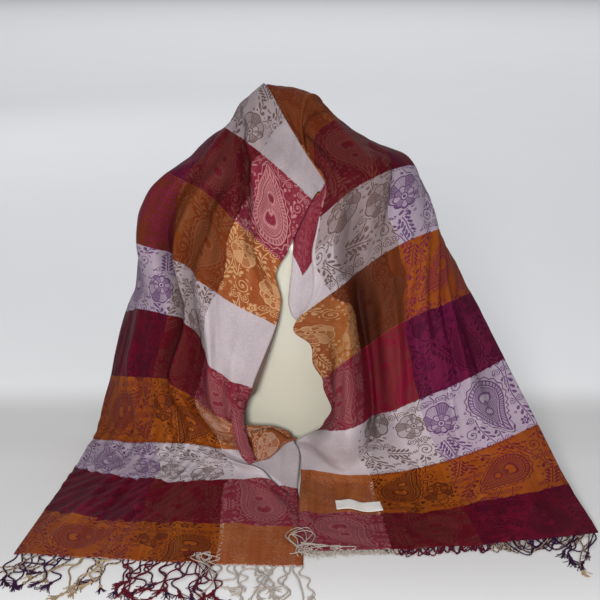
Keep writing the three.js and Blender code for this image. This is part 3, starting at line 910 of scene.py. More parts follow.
def make_fringe_yarn():
    """Twisted yarn; each cord brings its own colour."""
    material, d, shader = start_material("twisted fringe yarn", 0.62)
    own = d.node("ShaderNodeAttribute", attribute_name="yarn")
    fibre = d.noise(d.object_place(), 900.0, 2.0)
    # The fibre noise darkens the yarn in small random flecks, as painted shade between its fibres.
    tint = d.mix(fibre * 0.5, Term(d, own.outputs["Color"]), colour(54, 30, 34))
    d.feed(shader.inputs["Base Color"], tint)
    shader.inputs["Specular IOR Level"].default_value = 0.1
    raise_relief(d, shader, fibre, 0.0005, 0.6)
    return material


def make_floor_paper(settings):
    """Pale paper with painted light before and behind the shawl, and a band of painted shade just
    behind it.
    """
    material, d, shader = start_material("pale studio paper", 0.85)
    _, depth, _ = d.parts(d.object_place())

    def beyond(low, high):
        reach = d.node("ShaderNodeMapRange", interpolation_type="SMOOTHSTEP")
        for name, value in (("Value", depth), ("From Min", low), ("From Max", high)):
            d.feed(reach.inputs[name], value)
        return Term(d, reach.outputs[0])

    cloud = d.noise(d.object_place(), 3.0, 3.0)
    # Painted light before and behind the shawl, and painted shade in a band just behind it.
    pale = (1 - beyond(-0.4, -0.15)).most(beyond(0.23, 0.38))
    dim = beyond(0.06, 0.16) * (1 - beyond(0.22, 0.35)) * 0.25
    tint = d.mix(pale * 0.9 + cloud * 0.1, opaque(settings.floor_tint), colour(246, 246, 248))
    d.feed(shader.inputs["Base Color"], d.mix(dim, tint, colour(184, 183, 184)))
    shader.inputs["Specular IOR Level"].default_value = 0.15
    return material


# ---------------------------------------------------------------- settings that a user would change
def colour_setting(name, description, *values):
    return FloatVectorProperty(name=name, description=description, subtype="COLOR", size=3,
                               min=0, max=1, default=colour(*values)[:3])


def length_setting(name, description, default, low, high):
    return FloatProperty(name=name, description=description, default=default, min=low, max=high,
                         unit="LENGTH")


class ShawlDrape(bpy.types.PropertyGroup):
    """Sizes of the cloth and its fringe."""

    spacing: length_setting(
        "Mesh spacing", "Distance between the cloth's points", 0.0028, 0.001, 0.02)
    thickness: length_setting(
        "Cloth thickness", "Thickness of the folded cloth's two layers", 0.0013, 0.0005, 0.002)
    ripple: length_setting(
        "Ripple height", "Height of the small uneven waves in the cloth", 0.0012, 0, 0.005)
    cord_spacing: length_setting(
        "Cord spacing", "Distance between two cords of the fringe", 0.0066, 0.003, 0.03)
    seed: IntProperty(
        name="Seed", description="Starts the uneven waves and the lie of the fringe",
        default=7, min=0)


class ShawlColours(bpy.types.PropertyGroup):
    """Colours of the yarns, the form and the floor."""

    amber: colour_setting("Amber weft", "Weft of the brown-orange bands", 142, 66, 8)
    burgundy: colour_setting("Burgundy weft", "Weft of the dark red bands", 88, 3, 20)
    silver: colour_setting("Silver weft", "Weft of the pale bands", 186, 175, 182)
    cream: colour_setting("Cream warp", "Warp beside the selvedge", 202, 184, 178)
    taupe: colour_setting("Taupe warp", "Warp in the middle", 108, 76, 70)
    purple: colour_setting("Purple warp", "Warp beside the fold", 106, 46, 118)
    # The inner side's dark brown is painted shade on the lower layer's edge.
    shaded_inner_side: colour_setting("Inner side", "Inner side of the lower layer", 98, 74, 60)
    form_cream: colour_setting("Form", "Plastic of the bust form", 203, 200, 187)
    label_white: colour_setting("Label", "Satin of the sewn label", 236, 233, 228)
    floor_tint: colour_setting("Floor", "Paper under the shawl", 212, 211, 211)
    yarn_purple: colour_setting("Purple yarn", "Fringe yarn at the fold", 46, 14, 56)
    yarn_sand: colour_setting("Sand yarn", "Pale fringe yarn at the fold", 182, 158, 124)
    yarn_red: colour_setting("Dark red yarn", "Fringe yarn in the middle", 98, 8, 28)
    yarn_cream: colour_setting("Cream yarn", "Fringe yarn beside the selvedge", 196, 186, 176)


# ---------------------------------------------------------------- the drape
# Depths and heights are in mm, and the least gaps between cloth, form and floor as well.
WALL = 2.0
FORM_CLEARANCE = 0.9
LEAST_CLEARANCE = 0.5
FLOOR_CLEARANCE = 0.2
# Fold rise in mm that gives the full painted highlight or shade, and the weight of the floor
# ripples in it.
FULL_SHADE_RISE = 18
RIPPLE_SHADE_GAIN = 4

# The lap at the nape, where the right fall starts under the left one.
LAP_RISE = (8.1, 8.55)
LAP_DEPTH = 4.6
LAP_STEPS = (-14, -11, -8, -5, -2, 0.5, 3)
LAP_STEP_BANDS = (8.88, 9.04)
BRIDGE_STEPS = 6
RIGHT_FALL_BAND = 9.1
RIGHT_SEED = 20

# The lap on the floor, where the right fall's selvedge lies over the left one's: heights and where.
LAPPED_EDGE = 2.5
LAPPED_BAND = 2.6
LAPPING_EDGE = 5.3
LAPPING_RISE = (15.2, 15.5)
LAPPING_SHARE = 0.07

# Smaller creases on top of the main folds, on both falls.
SMALL_CREASES = (
    (6.4, 3.3, 0.56, 0.5, 0.055, -17), (6.6, 3.4, 0.42, 0.14, 0.08, 9),
    (7.6, 5.3, 0.49, 0.5, 0.04, 10), (7.5, 5.3, 0.57, 0.58, 0.04, -10),
    (7.6, 5.5, 0.43, 0.41, 0.045, -12), (7.6, 5.3, 0.67, 0.66, 0.05, 5),
    (7.5, 5.6, 0.78, 0.8, 0.05, -3), (8.3, 6.9, 0.54, 0.2, 0.055, -13),
    (8.4, 6.9, 0.56, 0.08, 0.07, 7), (7.2, 6.3, 0.27, 0.04, 0.05, -6),
    (3.2, 1.6, 0.42, -0.03, 0.018, -9), (3.2, 1.7, 0.47, 0.03, 0.035, 7),
    (10.9, 12.8, 0.2, 0.34, 0.11, -13), (9.95, 9.02, 0.48, 0, 0.04, -10),
    (9.8, 9.1, 0.6, 0.12, 0.05, 6), (12, 14.8, 0.33, 0.305, 0.04, -15),
    (11.9, 14.6, 0.26, 0.235, 0.05, 10), (12, 14.2, 0.43, 0.41, 0.045, 8),
    (11.9, 14.2, 0.54, 0.53, 0.05, -9), (11.8, 14.4, 0.66, 0.64, 0.045, 8),
    (12, 14.4, 0.78, 0.75, 0.04, -7), (12.8, 14.9, 0.9, 0.84, 0.045, -10),
    (0.3, 2.3, 0.9, 0.8, 0.035, 4), (0.2, 2.6, 0.8, 0.68, 0.03, -3.6),
    (0.6, 2.4, 0.7, 0.58, 0.035, 3.2), (1, 2.9, 0.6, 0.5, 0.03, -2.9),
    (0.2, 1.6, 0.42, 0.5, 0.04, 2.9), (1.9, 3.2, 0.94, 0.86, 0.03, 4.3),
    (2.2, 3.5, 0.82, 0.74, 0.03, -4), (2.3, 3.4, 0.7, 0.64, 0.025, 3.6),
    (2.5, 3.6, 0.58, 0.55, 0.03, -3.2), (3.4, 5.8, 0.86, 0.88, 0.05, -3),
    (3.2, 5.2, 0.7, 0.76, 0.05, 5.8), (4.2, 6.4, 0.34, 0.42, 0.04, 4.7),
    (4.6, 6.2, 0.24, 0.3, 0.03, -4), (5.8, 7.4, 0.46, 0.5, 0.04, -4.7),
    (6.2, 8, 0.3, 0.36, 0.035, 4.3), (6.4, 7.9, 0.16, 0.24, 0.03, -3.6),
    (7.1, 8.5, 0.56, 0.62, 0.04, 4.3), (7.3, 8.6, 0.7, 0.74, 0.03, -4),
    (7.6, 8.6, 0.4, 0.46, 0.03, 3.2), (6.6, 7.8, 0.9, 0.88, 0.035, 4),
    (9.3, 10.6, 0.3, 0.2, 0.05, -6.1), (9.4, 10.9, 0.46, 0.36, 0.04, 4.3),
    (9.5, 11.2, 0.74, 0.8, 0.04, -4.3), (9.6, 11.6, 0.86, 0.9, 0.035, 3.6),
    (10.2, 12.4, 0.5, 0.44, 0.04, -4), (10.6, 13.2, 0.76, 0.72, 0.05, 5),
    (11.2, 13.8, 0.88, 0.84, 0.04, -5.4), (12.2, 14.6, 0.68, 0.62, 0.05, -5.8),
    (12.8, 15, 0.8, 0.76, 0.05, 7.6), (13, 14.8, 0.92, 0.9, 0.035, -5.4),
    (13.4, 15.1, 0.7, 0.66, 0.03, 4.7), (13.2, 14.6, 0.52, 0.48, 0.04, -4.3),
    (14.6, 16.2, 0.3, 0.16, 0.05, 4.7), (14.8, 16.4, 0.06, 0.02, 0.04, 4),
    (15, 16.6, 0.5, 0.42, 0.04, -3.2), (15.2, 16.8, 0.72, 0.6, 0.05, 4),
    (15.4, 16.9, 0.9, 0.84, 0.04, -3.6),
)


def all_folds(bands, shares):
    """How far the main folds and the small creases lift the cloth, in mm."""
    return fold_rise(bands, shares, MAIN_FOLDS) + fold_rise(bands, shares, SMALL_CREASES)


def floor_ripples(bands, shares):
    """Slanting pull lines where the left fall spreads over the floor, in mm."""
    along = bands[:, None] * BAND * 1000
    across = shares[None, :] * FOLDED_WIDTH * 1000
    slant = across * 0.86 + along * 0.5
    uneven = np.sin(across / 37 + 1.0) * 4 + np.sin(along / 29) * 5
    where = smoothstep(shares, 0.3, 0.5)[None, :] * (
        smoothstep(bands, 0.6, 1.3) * (1 - smoothstep(bands, 3.0, 3.7)))[:, None]
    fine = np.sin(2 * np.pi * (slant + uneven) / 15)
    broad = 0.6 * np.sin(2 * np.pi * (slant - uneven) / 26 + 1)
    return 1.1 * (fine + broad) * where


def smoothstep(values, low, high):
    share = np.clip((values - low) / (high - low), 0, 1)
    return share * share * (3 - 2 * share)


# Places where the cloth is drawn aside: band, share across, the reach of each, and x, y, z in mm.
NUDGES = (
    (14.3, 0, 0.55, 0.3, -20, 2, 4), (14.7, 0, 0.5, 0.2, -6, 14, 10),
    (13.55, 0, 0.45, 0.22, 15, -2, 0), (11.75, 0, 0.4, 0.16, 12, 0, 0),
    (12.15, 0, 0.3, 0.16, -15, -3, -6), (4.05, 0, 0.5, 0.25, -8, 0, -9),
    (3.5, 0, 0.6, 0.22, 8, -4, 2), (7.85, 0.8, 0.55, 0.5, -13, 0, 4),
    (6.75, 0, 0.45, 0.14, -9, 0, 1), (12.75, 0, 0.3, 0.14, -8, 0, 0),
    (13.95, 0, 0.25, 0.12, 10, 0, 0), (6.5, 1, 1.3, 0.5, -10, 0, 0), (3, 0, 0.35, 0.1, -5, 0, 0),
)


def nudged(grid, bands, shares):
    for band, across, band_reach, across_reach, *move in NUDGES:
        near = 1 - smoothstep(np.abs(bands - band) / band_reach, 0, 1)
        beside = 1 - smoothstep(np.abs(shares - across) / across_reach, 0, 1)
        grid = grid + (near[:, None] * beside[None, :])[:, :, None] * np.array(move, float)
    return grid


def above_floor(grid, settings):
    """Keeps a fall's outer face its own thickness above the floor."""
    grid[:, :, 2] = np.maximum(grid[:, :, 2], settings.thickness / MM + FLOOR_CLEARANCE)
    return grid


def fall_grid(sections, bands, shares, settings, clearance, seed):
    """One fall's outer face in mm, with its folds, creases and uneven waves."""
    folds = all_folds(bands, shares)
    folds += soft_waves(bands, shares, seed, 9, 0.02, 0.07, settings.ripple / MM / 2)
    folds += soft_waves(bands, shares, seed + 1, 7, 0.06, 0.16, settings.ripple / MM)
    clearance = clearance[:, None]
    grid = nudged(cloth_grid(sections, bands, shares, clearance, folds), bands, shares)
    return above_floor(keep_outside_form(grid, clearance), settings)


def places_along(start, end, spacing):
    return np.linspace(start, end, max(2, round((end - start) * BAND / spacing)) + 1)


def left_fall_grid(settings):
    """The left fall, whose selvedge lies flat on the floor where the right one laps over it."""
    bands = places_along(0, LAP_BAND, settings.spacing)
    shares = np.linspace(0, 1, round(FOLDED_WIDTH / settings.spacing) + 1)
    clearance = FORM_CLEARANCE + WALL + LAP_DEPTH * smoothstep(bands, *LAP_RISE)
    grid = fall_grid(LEFT_SECTIONS, bands, shares, settings, clearance, settings.seed)
    grid = grid + normals_of(grid) * floor_ripples(bands, shares)[:, :, None]
    rise = smoothstep(shares, 0.02, 0.14)[None, :] + smoothstep(bands, 1.7, LAPPED_BAND)[:, None]
    lapped = np.where(bands[:, None] < LAPPED_BAND, LAPPED_EDGE + 30 * rise, np.inf)
    grid[:, :, 2] = np.minimum(grid[:, :, 2], lapped)
    grid = above_floor(grid, settings)
    return grid, bands


def right_fall_grid(settings, left):
    """The right fall starts under the left one, a little below its last row."""
    heading = left[-1] - left[-2]
    heading /= np.linalg.norm(heading, axis=1, keepdims=True)
    below = -normals_of(left)[-1] * LAP_DEPTH
    lap = np.array([left[-1] + heading * along + below for along in LAP_STEPS])
    lap = keep_outside_form(lap, FORM_CLEARANCE + WALL)
    lap_bands = np.linspace(*LAP_STEP_BANDS, len(lap))
    shares = np.linspace(0, 1, left.shape[1])
    bands = places_along(RIGHT_FALL_BAND, BANDS, settings.spacing)
    clearance = np.full(len(bands), FORM_CLEARANCE + WALL)
    seed = settings.seed + RIGHT_SEED
    fall = fall_grid(RIGHT_SECTIONS, bands, shares, settings, clearance, seed)
    lifted = LAPPING_EDGE * smoothstep(bands, *LAPPING_RISE)
    lifted = lifted[:, None] * (shares < LAPPING_SHARE)[None, :]
    fall[:, :, 2] = np.maximum(fall[:, :, 2], lifted)
    bridge = lap[-1] + (fall[0] - lap[-1]) * np.linspace(0, 1, BRIDGE_STEPS)[1:-1, None, None]
    bridge = keep_outside_form(bridge, FORM_CLEARANCE + WALL)
    bridge_bands = np.linspace(lap_bands[-1], bands[0], BRIDGE_STEPS)[1:-1]
    return np.concatenate([lap, bridge, fall]), np.concatenate([lap_bands, bridge_bands, bands])


def point_on(grid, grid_bands, bands, shares):
    """Points of a fall's face at other bands and shares across."""
    columns = grid.shape[1]
    rows = np.array([[np.interp(bands, grid_bands, grid[:, k, axis]) for axis in range(3)]
                     for k in range(columns)])
    even = np.linspace(0, 1, columns)
    return np.array([[np.interp(shares, even, rows[:, axis, i]) for axis in range(3)]
                     for i in range(len(bands))]).transpose(0, 2, 1)


def shawl_settings(context):
    return context.scene.shawl_drape, context.scene.shawl_colours


def woven_cloth(context):
    """The cloth's material, made once for all its pieces."""
    made = bpy.data.materials.get(JACQUARD)
    return made or make_jacquard(context.scene.shawl_colours)


class BuildForm(bpy.types.Operator):
    """Smooth bust form without limbs, under the shawl"""

    bl_idname = "shawl.build_form"
    bl_label = "Bust form"

    def execute(self, context):
        _, colours = shawl_settings(context)
        heights = np.concatenate([np.linspace(0, 500, 90), np.linspace(504, 524, 10)])
        turns = np.linspace(0, 2 * math.pi, 120, endpoint=False)
        half_width, half_depth, squareness = form_ring(heights)[:, :, None]
        rounding = 2 / squareness
        x = half_width * np.sign(np.cos(turns)) * np.abs(np.cos(turns)) ** rounding
        y = half_depth * np.sign(np.sin(turns)) * np.abs(np.sin(turns)) ** rounding
        z = np.broadcast_to(heights[:, None], x.shape)
        rings = np.stack([FORM_CENTRE[0] + x, FORM_CENTRE[1] + y, z], 2)
        points = np.concatenate([rings.reshape(-1, 3), rings[[0, -1]].mean(axis=1)])
        here = np.arange(x.size).reshape(x.shape)
        beside = np.roll(here, -1, axis=1)
        faces = np.stack([here[:-1], beside[:-1], beside[1:], here[1:]], -1).reshape(-1, 4).tolist()
        bottom, top = len(points) - 2, len(points) - 1
        for low, next_low, high, next_high in zip(*np.concatenate(
                [here[:1], beside[:1], here[-1:], beside[-1:]]).tolist()):
            faces += [[bottom, next_low, low], [top, high, next_high]]
        piece = new_piece("bust_form_smooth", points, faces, make_form_plastic(colours))
        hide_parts("bust_form")
        return {"FINISHED"}


class BuildFalls(bpy.types.Operator):
    """Both falls of the folded cloth, from hem to hem"""

    bl_idname = "shawl.build_falls"
    bl_label = "Draped cloth"

    def execute(self, context):
        settings, _ = shawl_settings(context)
        cloth = woven_cloth(context)
        left, left_bands = left_fall_grid(settings)
        right, right_bands = right_fall_grid(settings, left)
        for side, grid, bands in (("left", left, left_bands), ("right", right, right_bands)):
            across = across_cloth(grid, bands)
            piece = cloth_shell(f"draped_{side}_fall", grid, settings.thickness / MM, bands,
                                across, cloth)
            mark_figures(piece, bands, across)
            shares = np.linspace(0, 1, grid.shape[1])
            # The fold rise, with part of the main folds taken off, is stored to paint highlights on
            # the ridges and shade in the valleys; on the left fall the floor ripples add painted
            # shade lines.
            rise = all_folds(bands, shares) - 0.4 * fold_rise(bands, shares, MAIN_FOLDS)
            if side == "left":
                rise += RIPPLE_SHADE_GAIN * floor_ripples(bands, shares)
            rise = np.clip(rise / FULL_SHADE_RISE, -1, 1)
            write_attribute(piece.data, "fold_light_and_shade", "FLOAT", "POINT", "value", [rise, rise])
            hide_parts(f"shawl_{side}_fall")
        return {"FINISHED"}


# The strip of the lower layer: its bands, depth in mm, and how many mm of it show along it.
STRIP_BANDS = (10.5, 12.18)
STRIP_DEPTH = 3.4
STRIP_SHOWS = ((0, 0.4, 0.65, 0.84, 0.93, 1), (31, 30, 22, 21, 16, 4))
STRIP_COLUMNS = 14


class BuildUnderlayer(bpy.types.Operator):
    """Strip of the lower layer that shows inside the right fall's edge"""

    bl_idname = "shawl.build_underlayer"
    bl_label = "Lower layer"

    def execute(self, context):
        settings, _ = shawl_settings(context)
        bands = places_along(*STRIP_BANDS, settings.spacing)
        shares = np.linspace(0, 0.1, STRIP_COLUMNS)
        no_folds = fold_rise(bands, shares, MAIN_FOLDS)
        under = cloth_grid(RIGHT_SECTIONS, bands, shares, FORM_CLEARANCE + WALL, no_folds)
        under = keep_outside_form(under - normals_of(under) * STRIP_DEPTH, FORM_CLEARANCE)
        along = (bands - bands[0]) / (bands[-1] - bands[0])
        shows = np.interp(along, *STRIP_SHOWS)[:, None]
        share = np.linspace(1, 0, STRIP_COLUMNS + 1)[:-1][None, :]
        strip = np.repeat(under[:, :1], STRIP_COLUMNS, axis=1)
        strip[:, :, 0] -= shows * share
        strip[:, :, 1] += 6 * share
        strip = keep_outside_form(strip, FORM_CLEARANCE + WALL)
        grid = np.concatenate([strip, under], axis=1)
        steps = np.linalg.norm(np.diff(grid, axis=1), axis=2)
        across = np.concatenate([np.zeros((len(grid), 1)), np.cumsum(steps, axis=1)], 1) * MM
        point = np.abs(np.linspace(0, 1, grid.shape[1]) - 0.38)
        shown = bands[:, None] - 0.62 + 0.5 * point[None, :]
        piece = cloth_shell("lower_layer_strip", grid, settings.thickness / MM, shown, across,
                            woven_cloth(context))
        mark_figures(piece, shown, across)
        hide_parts("shawl_right_underlayer")
        return {"FINISHED"}


# The lower layer's edge beside the left fall: its bands, thickness and how far it shows in mm.
EDGE_BANDS = (4.6, 7.1)
EDGE_THICKNESS = 0.7
EDGE_SHOWS = 7.0
EDGE_COLUMNS = 8


class BuildLowerEdge(bpy.types.Operator):
    """Edge of the lower layer that shows beside the left fall's opening edge"""

    bl_idname = "shawl.build_lower_edge"
    bl_label = "Lower edge"

    def execute(self, context):
        settings, colours = shawl_settings(context)
        left, bands = left_fall_grid(settings)
        rows = (bands > EDGE_BANDS[0]) & (bands < EDGE_BANDS[1])
        bands, near = bands[rows], left[rows][:, :EDGE_COLUMNS]
        normal = normals_of(near)[:, 0]
        out = near[:, 0] - near[:, -1]
        out /= np.linalg.norm(out, axis=1, keepdims=True)
        shows = EDGE_SHOWS * smoothstep(bands, 4.6, 5.0) * (1 - smoothstep(bands, 4.9, 6.4))
        below = 1.2 + 1.8 * (1 - smoothstep(bands, 4.7, 5.3))[:, None]
        places = np.linspace(-9, 0, 5).tolist() + np.linspace(0.2, 1, 6).tolist()
        grid = np.stack([near[:, 0] + out * (place if place <= 0 else place * shows[:, None])
                         - normal * (settings.thickness / MM + below) for place in places], 1)
        grid = keep_outside_form(grid, FORM_CLEARANCE + EDGE_THICKNESS + 0.1)
        across = np.broadcast_to(np.linspace(0.001, 0.018, len(places)), grid.shape[:2])
        piece = cloth_shell("lower_layer_edge", grid[:, ::-1], EDGE_THICKNESS, bands, across,
                            make_shaded_twill(colours))
        return {"FINISHED"}


# The selvedge turned over at the foot of the opening: each row's two edges in mm.
TURNED_STRIP = (
    ((-61, -178, 43), (-70, -186, 39)), ((-67, -168, 54), (-82, -179, 49)),
    ((-74, -153, 67), (-92, -159, 65)), ((-79, -135, 85), (-97, -144, 88)),
    ((-77, -135, 116), (-96, -144, 118)),
)
TURNED_FLAP = (
    ((-66, -178, 38), (-70, -146, 71)), ((-56, -170, 37), (-58, -139, 71)),
    ((-44, -163, 37), (-43, -130, 69)), ((-33, -151, 41), (-29, -128, 61)),
    ((-21, -135, 46), (-18, -128, 52)), ((-6, -122, 46), (-5, -120, 49)),
)


def curve_through(rows, steps):
    """More rows on a smooth curve through a short list of them."""
    place = np.linspace(0, len(rows) - 1, (len(rows) - 1) * steps + 1)
    cell = np.clip(np.floor(place).astype(int), 0, len(rows) - 2)
    return through(np.array(rows, float), cell, place - cell)


def ribbon(rows, crown, columns=9, steps=7):
    """A narrow curved grid between two edges, raised along its middle, mm."""
    smooth = curve_through(rows, steps)
    share = np.linspace(0, 1, columns)[None, :, None]
    grid = smooth[:, :1] * (1 - share) + smooth[:, 1:] * share
    return grid + normals_of(grid) * crown * 4 * share * (1 - share)


class BuildTurnedEdge(bpy.types.Operator):
    """Corner of the selvedge that is turned over at the foot of the opening"""

    bl_idname = "shawl.build_turned_edge"
    bl_label = "Turned edge"

    def execute(self, context):
        settings, _ = shawl_settings(context)
        for name, rows, crown, first, last, sides in (
                ("turned_strip", TURNED_STRIP, 3.0, 4.03, 4.97, (0.055, 0.078)),
                ("turned_flap", TURNED_FLAP, 4.0, 3.97, 3.25, (0.09, 0.055))):
            grid = ribbon(rows, crown)
            bands = np.linspace(first, last, len(grid))
            across = np.broadcast_to(np.linspace(*sides, grid.shape[1]), grid.shape[:2])
            piece = cloth_shell(name, grid, settings.thickness / MM, bands, across,
                                woven_cloth(context))
            mark_figures(piece, bands, across)
        return {"FINISHED"}


# The label: the band at its lower edge, its height and its two sides across the cloth in m.
LABEL_BAND = 15.95
LABEL_HEIGHT = 0.026
LABEL_SIDES = np.array([0.049, 0.109])
LABEL_THICKNESS = 0.5


class BuildLabel(bpy.types.Operator):
    """Bare satin label lying on the right fall"""

    bl_idname = "shawl.build_label"
    bl_label = "Label"

    def execute(self, context):
        settings, colours = shawl_settings(context)
        bands = np.linspace(LABEL_BAND - LABEL_HEIGHT / BAND, LABEL_BAND, 15)
        shares = np.linspace(*LABEL_SIDES / FOLDED_WIDTH, 31)
        left, _ = left_fall_grid(settings)
        panel = point_on(*right_fall_grid(settings, left), bands, shares)
        x = np.linspace(-1, 1, len(shares))[None, :]
        y = np.linspace(-1, 1, len(bands))[:, None]
        curl = 1.1 + 0.8 * (x * y) ** 2 + 0.25 * (1 + np.sin(3.4 * x + 1.2 * y))
        grid = panel + normals_of(panel) * curl[:, :, None]
        across = np.broadcast_to(shares * FOLDED_WIDTH, grid.shape[:2])
        piece = cloth_shell("sewn_label", grid, LABEL_THICKNESS, bands, across,
                            make_label_satin(colours))
        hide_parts("label")
        return {"FINISHED"}


def directions(path):
    forward = np.gradient(path, axis=0)
    return forward / np.maximum(np.linalg.norm(forward, axis=1, keepdims=True), 1e-9)


class Cords:
    """Gathers twisted cords, knots and tassels into one mesh."""

    def __init__(self):
        self.points, self.faces, self.tints = [], [], []
        self.count = 0

    def tube(self, path, radii, tint, sides=5):
        forward = directions(path)
        side = np.cross(forward, (0, 0, 1.0))
        flat = np.linalg.norm(side, axis=1, keepdims=True)
        side = np.where(flat > 0.05, side / np.maximum(flat, 1e-9), (1.0, 0, 0))
        up = np.cross(side, forward)
        turns = np.linspace(0, 2 * math.pi, sides, endpoint=False)[None, :, None]
        ring = side[:, None] * np.cos(turns) + up[:, None] * np.sin(turns)
        points = path[:, None] + ring * np.broadcast_to(radii, len(path))[:, None, None]
        points[:, :, 2] = np.maximum(points[:, :, 2], 0.1)
        here = self.count + np.arange(len(path) * sides).reshape(-1, sides)
        beside = np.roll(here, -1, axis=1)
        walls = np.stack([here[:-1], here[1:], beside[1:], beside[:-1]], -1)
        self.faces += [*walls.reshape(-1, 4).tolist(), here[0].tolist(), here[-1, ::-1].tolist()]
        self.points.append(points.reshape(-1, 3))
        self.tints.append(np.broadcast_to((*tint[:3], 1.0), (here.size, 4)))
        self.count += here.size

    def twisted(self, path, radius, tints, pitch=6.0):
        """Two strands wound round a path."""
        forward = directions(path)
        side = np.cross(forward, (0, 0, 1.0))
        side /= np.maximum(np.linalg.norm(side, axis=1, keepdims=True), 1e-3)
        up = np.cross(side, forward)
        steps = np.linalg.norm(np.diff(path, axis=0), axis=1)
        run = np.concatenate([[0], np.cumsum(steps)]) * 2 * math.pi / pitch
        for start, tint in zip((0, math.pi), tints):
            wind = side * np.cos(run + start)[:, None] + up * np.sin(run + start)[:, None]
            self.tube(path + wind * radius * 0.48, radius * 0.62, tint)

    def knot(self, place, radius, tint):
        angles = np.linspace(0, 1, 7)
        path = np.array(place) + np.stack([angles * radius * 2 - radius, 0 * angles, 0 * angles], 1)
        self.tube(path, radius * np.sqrt(np.clip(1 - (angles * 2 - 1) ** 2, 0.06, 1)), tint, 7)

    def tassel(self, place, heading, length, tint, draw):
        for _ in range(13):
            turn = heading + draw.gauss(0, 0.26)
            reach = np.linspace(0, length * draw.uniform(0.6, 1.05), 6)
            bend = draw.gauss(0, 0.02)
            x = place[0] + reach * np.cos(turn + bend * reach)
            y = place[1] + reach * np.sin(turn + bend * reach)
            z = np.maximum(place[2] * (1 - reach / length * 0.7) + draw.uniform(-0.4, 0.6), 0.5)
            self.tube(np.stack([x, y, np.broadcast_to(z, x.shape)], 1), 0.55, tint, 4)

    def finish(self, name, material):
        points = np.concatenate(self.points)
        piece = new_piece(name, points, self.faces, material)
        tints = np.concatenate(self.tints)
        write_attribute(piece.data, "yarn", "FLOAT_COLOR", "POINT", "color", tints)
        return piece


def wandering(start, heading, length, draw, wander, lift=0.0, step=1.5):
    """A limp cord's path over the surface from its start, with a slow uneven wander."""
    count = max(4, round(length / step))
    bends = [draw.gauss(0, wander) for _ in range(5)]
    share = np.linspace(0, 1, count + 1)
    turn = heading + sum(b * np.sin(math.pi * (k + 1) * share + k) for k, b in enumerate(bends))
    x = start[0] + np.concatenate([[0], np.cumsum(np.cos(turn[1:]) * step)])
    y = start[1] + np.concatenate([[0], np.cumsum(np.sin(turn[1:]) * step)])
    fall = np.clip(share * 6, 0, 1)
    z = start[2] * (1 - fall) + (1.1 + lift * np.sin(math.pi * share) ** 2) * fall
    return np.stack([x, y, z], 1), turn[-1]


def hem_loop(first, last, reach, lean):
    """A short loop of yarn that leaves the hem and comes back to it, mm."""
    share = np.linspace(0, 1, 18)
    bulge = np.sin(math.pi * share)
    path = first + (last - first) * share[:, None]
    path[:, 0] += lean * bulge
    path[:, 1] -= reach * bulge
    path[:, 2] += (1.2 - path[:, 2]) * np.sqrt(bulge)
    return path


def yarn_tints(share, colours, draw):
    """The two strands' colours, by the cord's place across the cloth."""
    share += draw.gauss(0, 0.03)
    if share < 0.3:
        pair = (colours.yarn_cream, colours.yarn_cream)
    elif share < 0.62:
        pair = (colours.yarn_red, draw.choice((colours.yarn_red, colours.yarn_purple)))
    elif share < 0.8:
        pair = (colours.yarn_sand, draw.choice((colours.yarn_purple, colours.yarn_sand)))
    else:
        pair = (colours.yarn_purple, draw.choice((colours.yarn_purple, colours.yarn_purple,
                                                  colours.yarn_sand)))
    return [np.array(tint) * draw.uniform(0.8, 1.12) for tint in pair]


# Loose ends that lie over each hem: share across, rise up the cloth and reach past the hem in mm,
# how many, and their yarn.
LOOSE_ENDS = {
    "left": ((0.32, 34, 46, 5, "yarn_cream"), (0.35, 26, 40, 3, "yarn_red")),
    "right": ((-0.01, 58, 14, 4, "yarn_cream"), (0.04, 14, 24, 3, "yarn_cream"),
              (0.11, 10, 20, 3, "yarn_cream")),
}
HEM_SEEDS = {"left": 100, "right": 200}
CORD_RADIUS, KNOT_RADIUS, LOOSE_RADIUS = 1.05, 2.3, 0.7


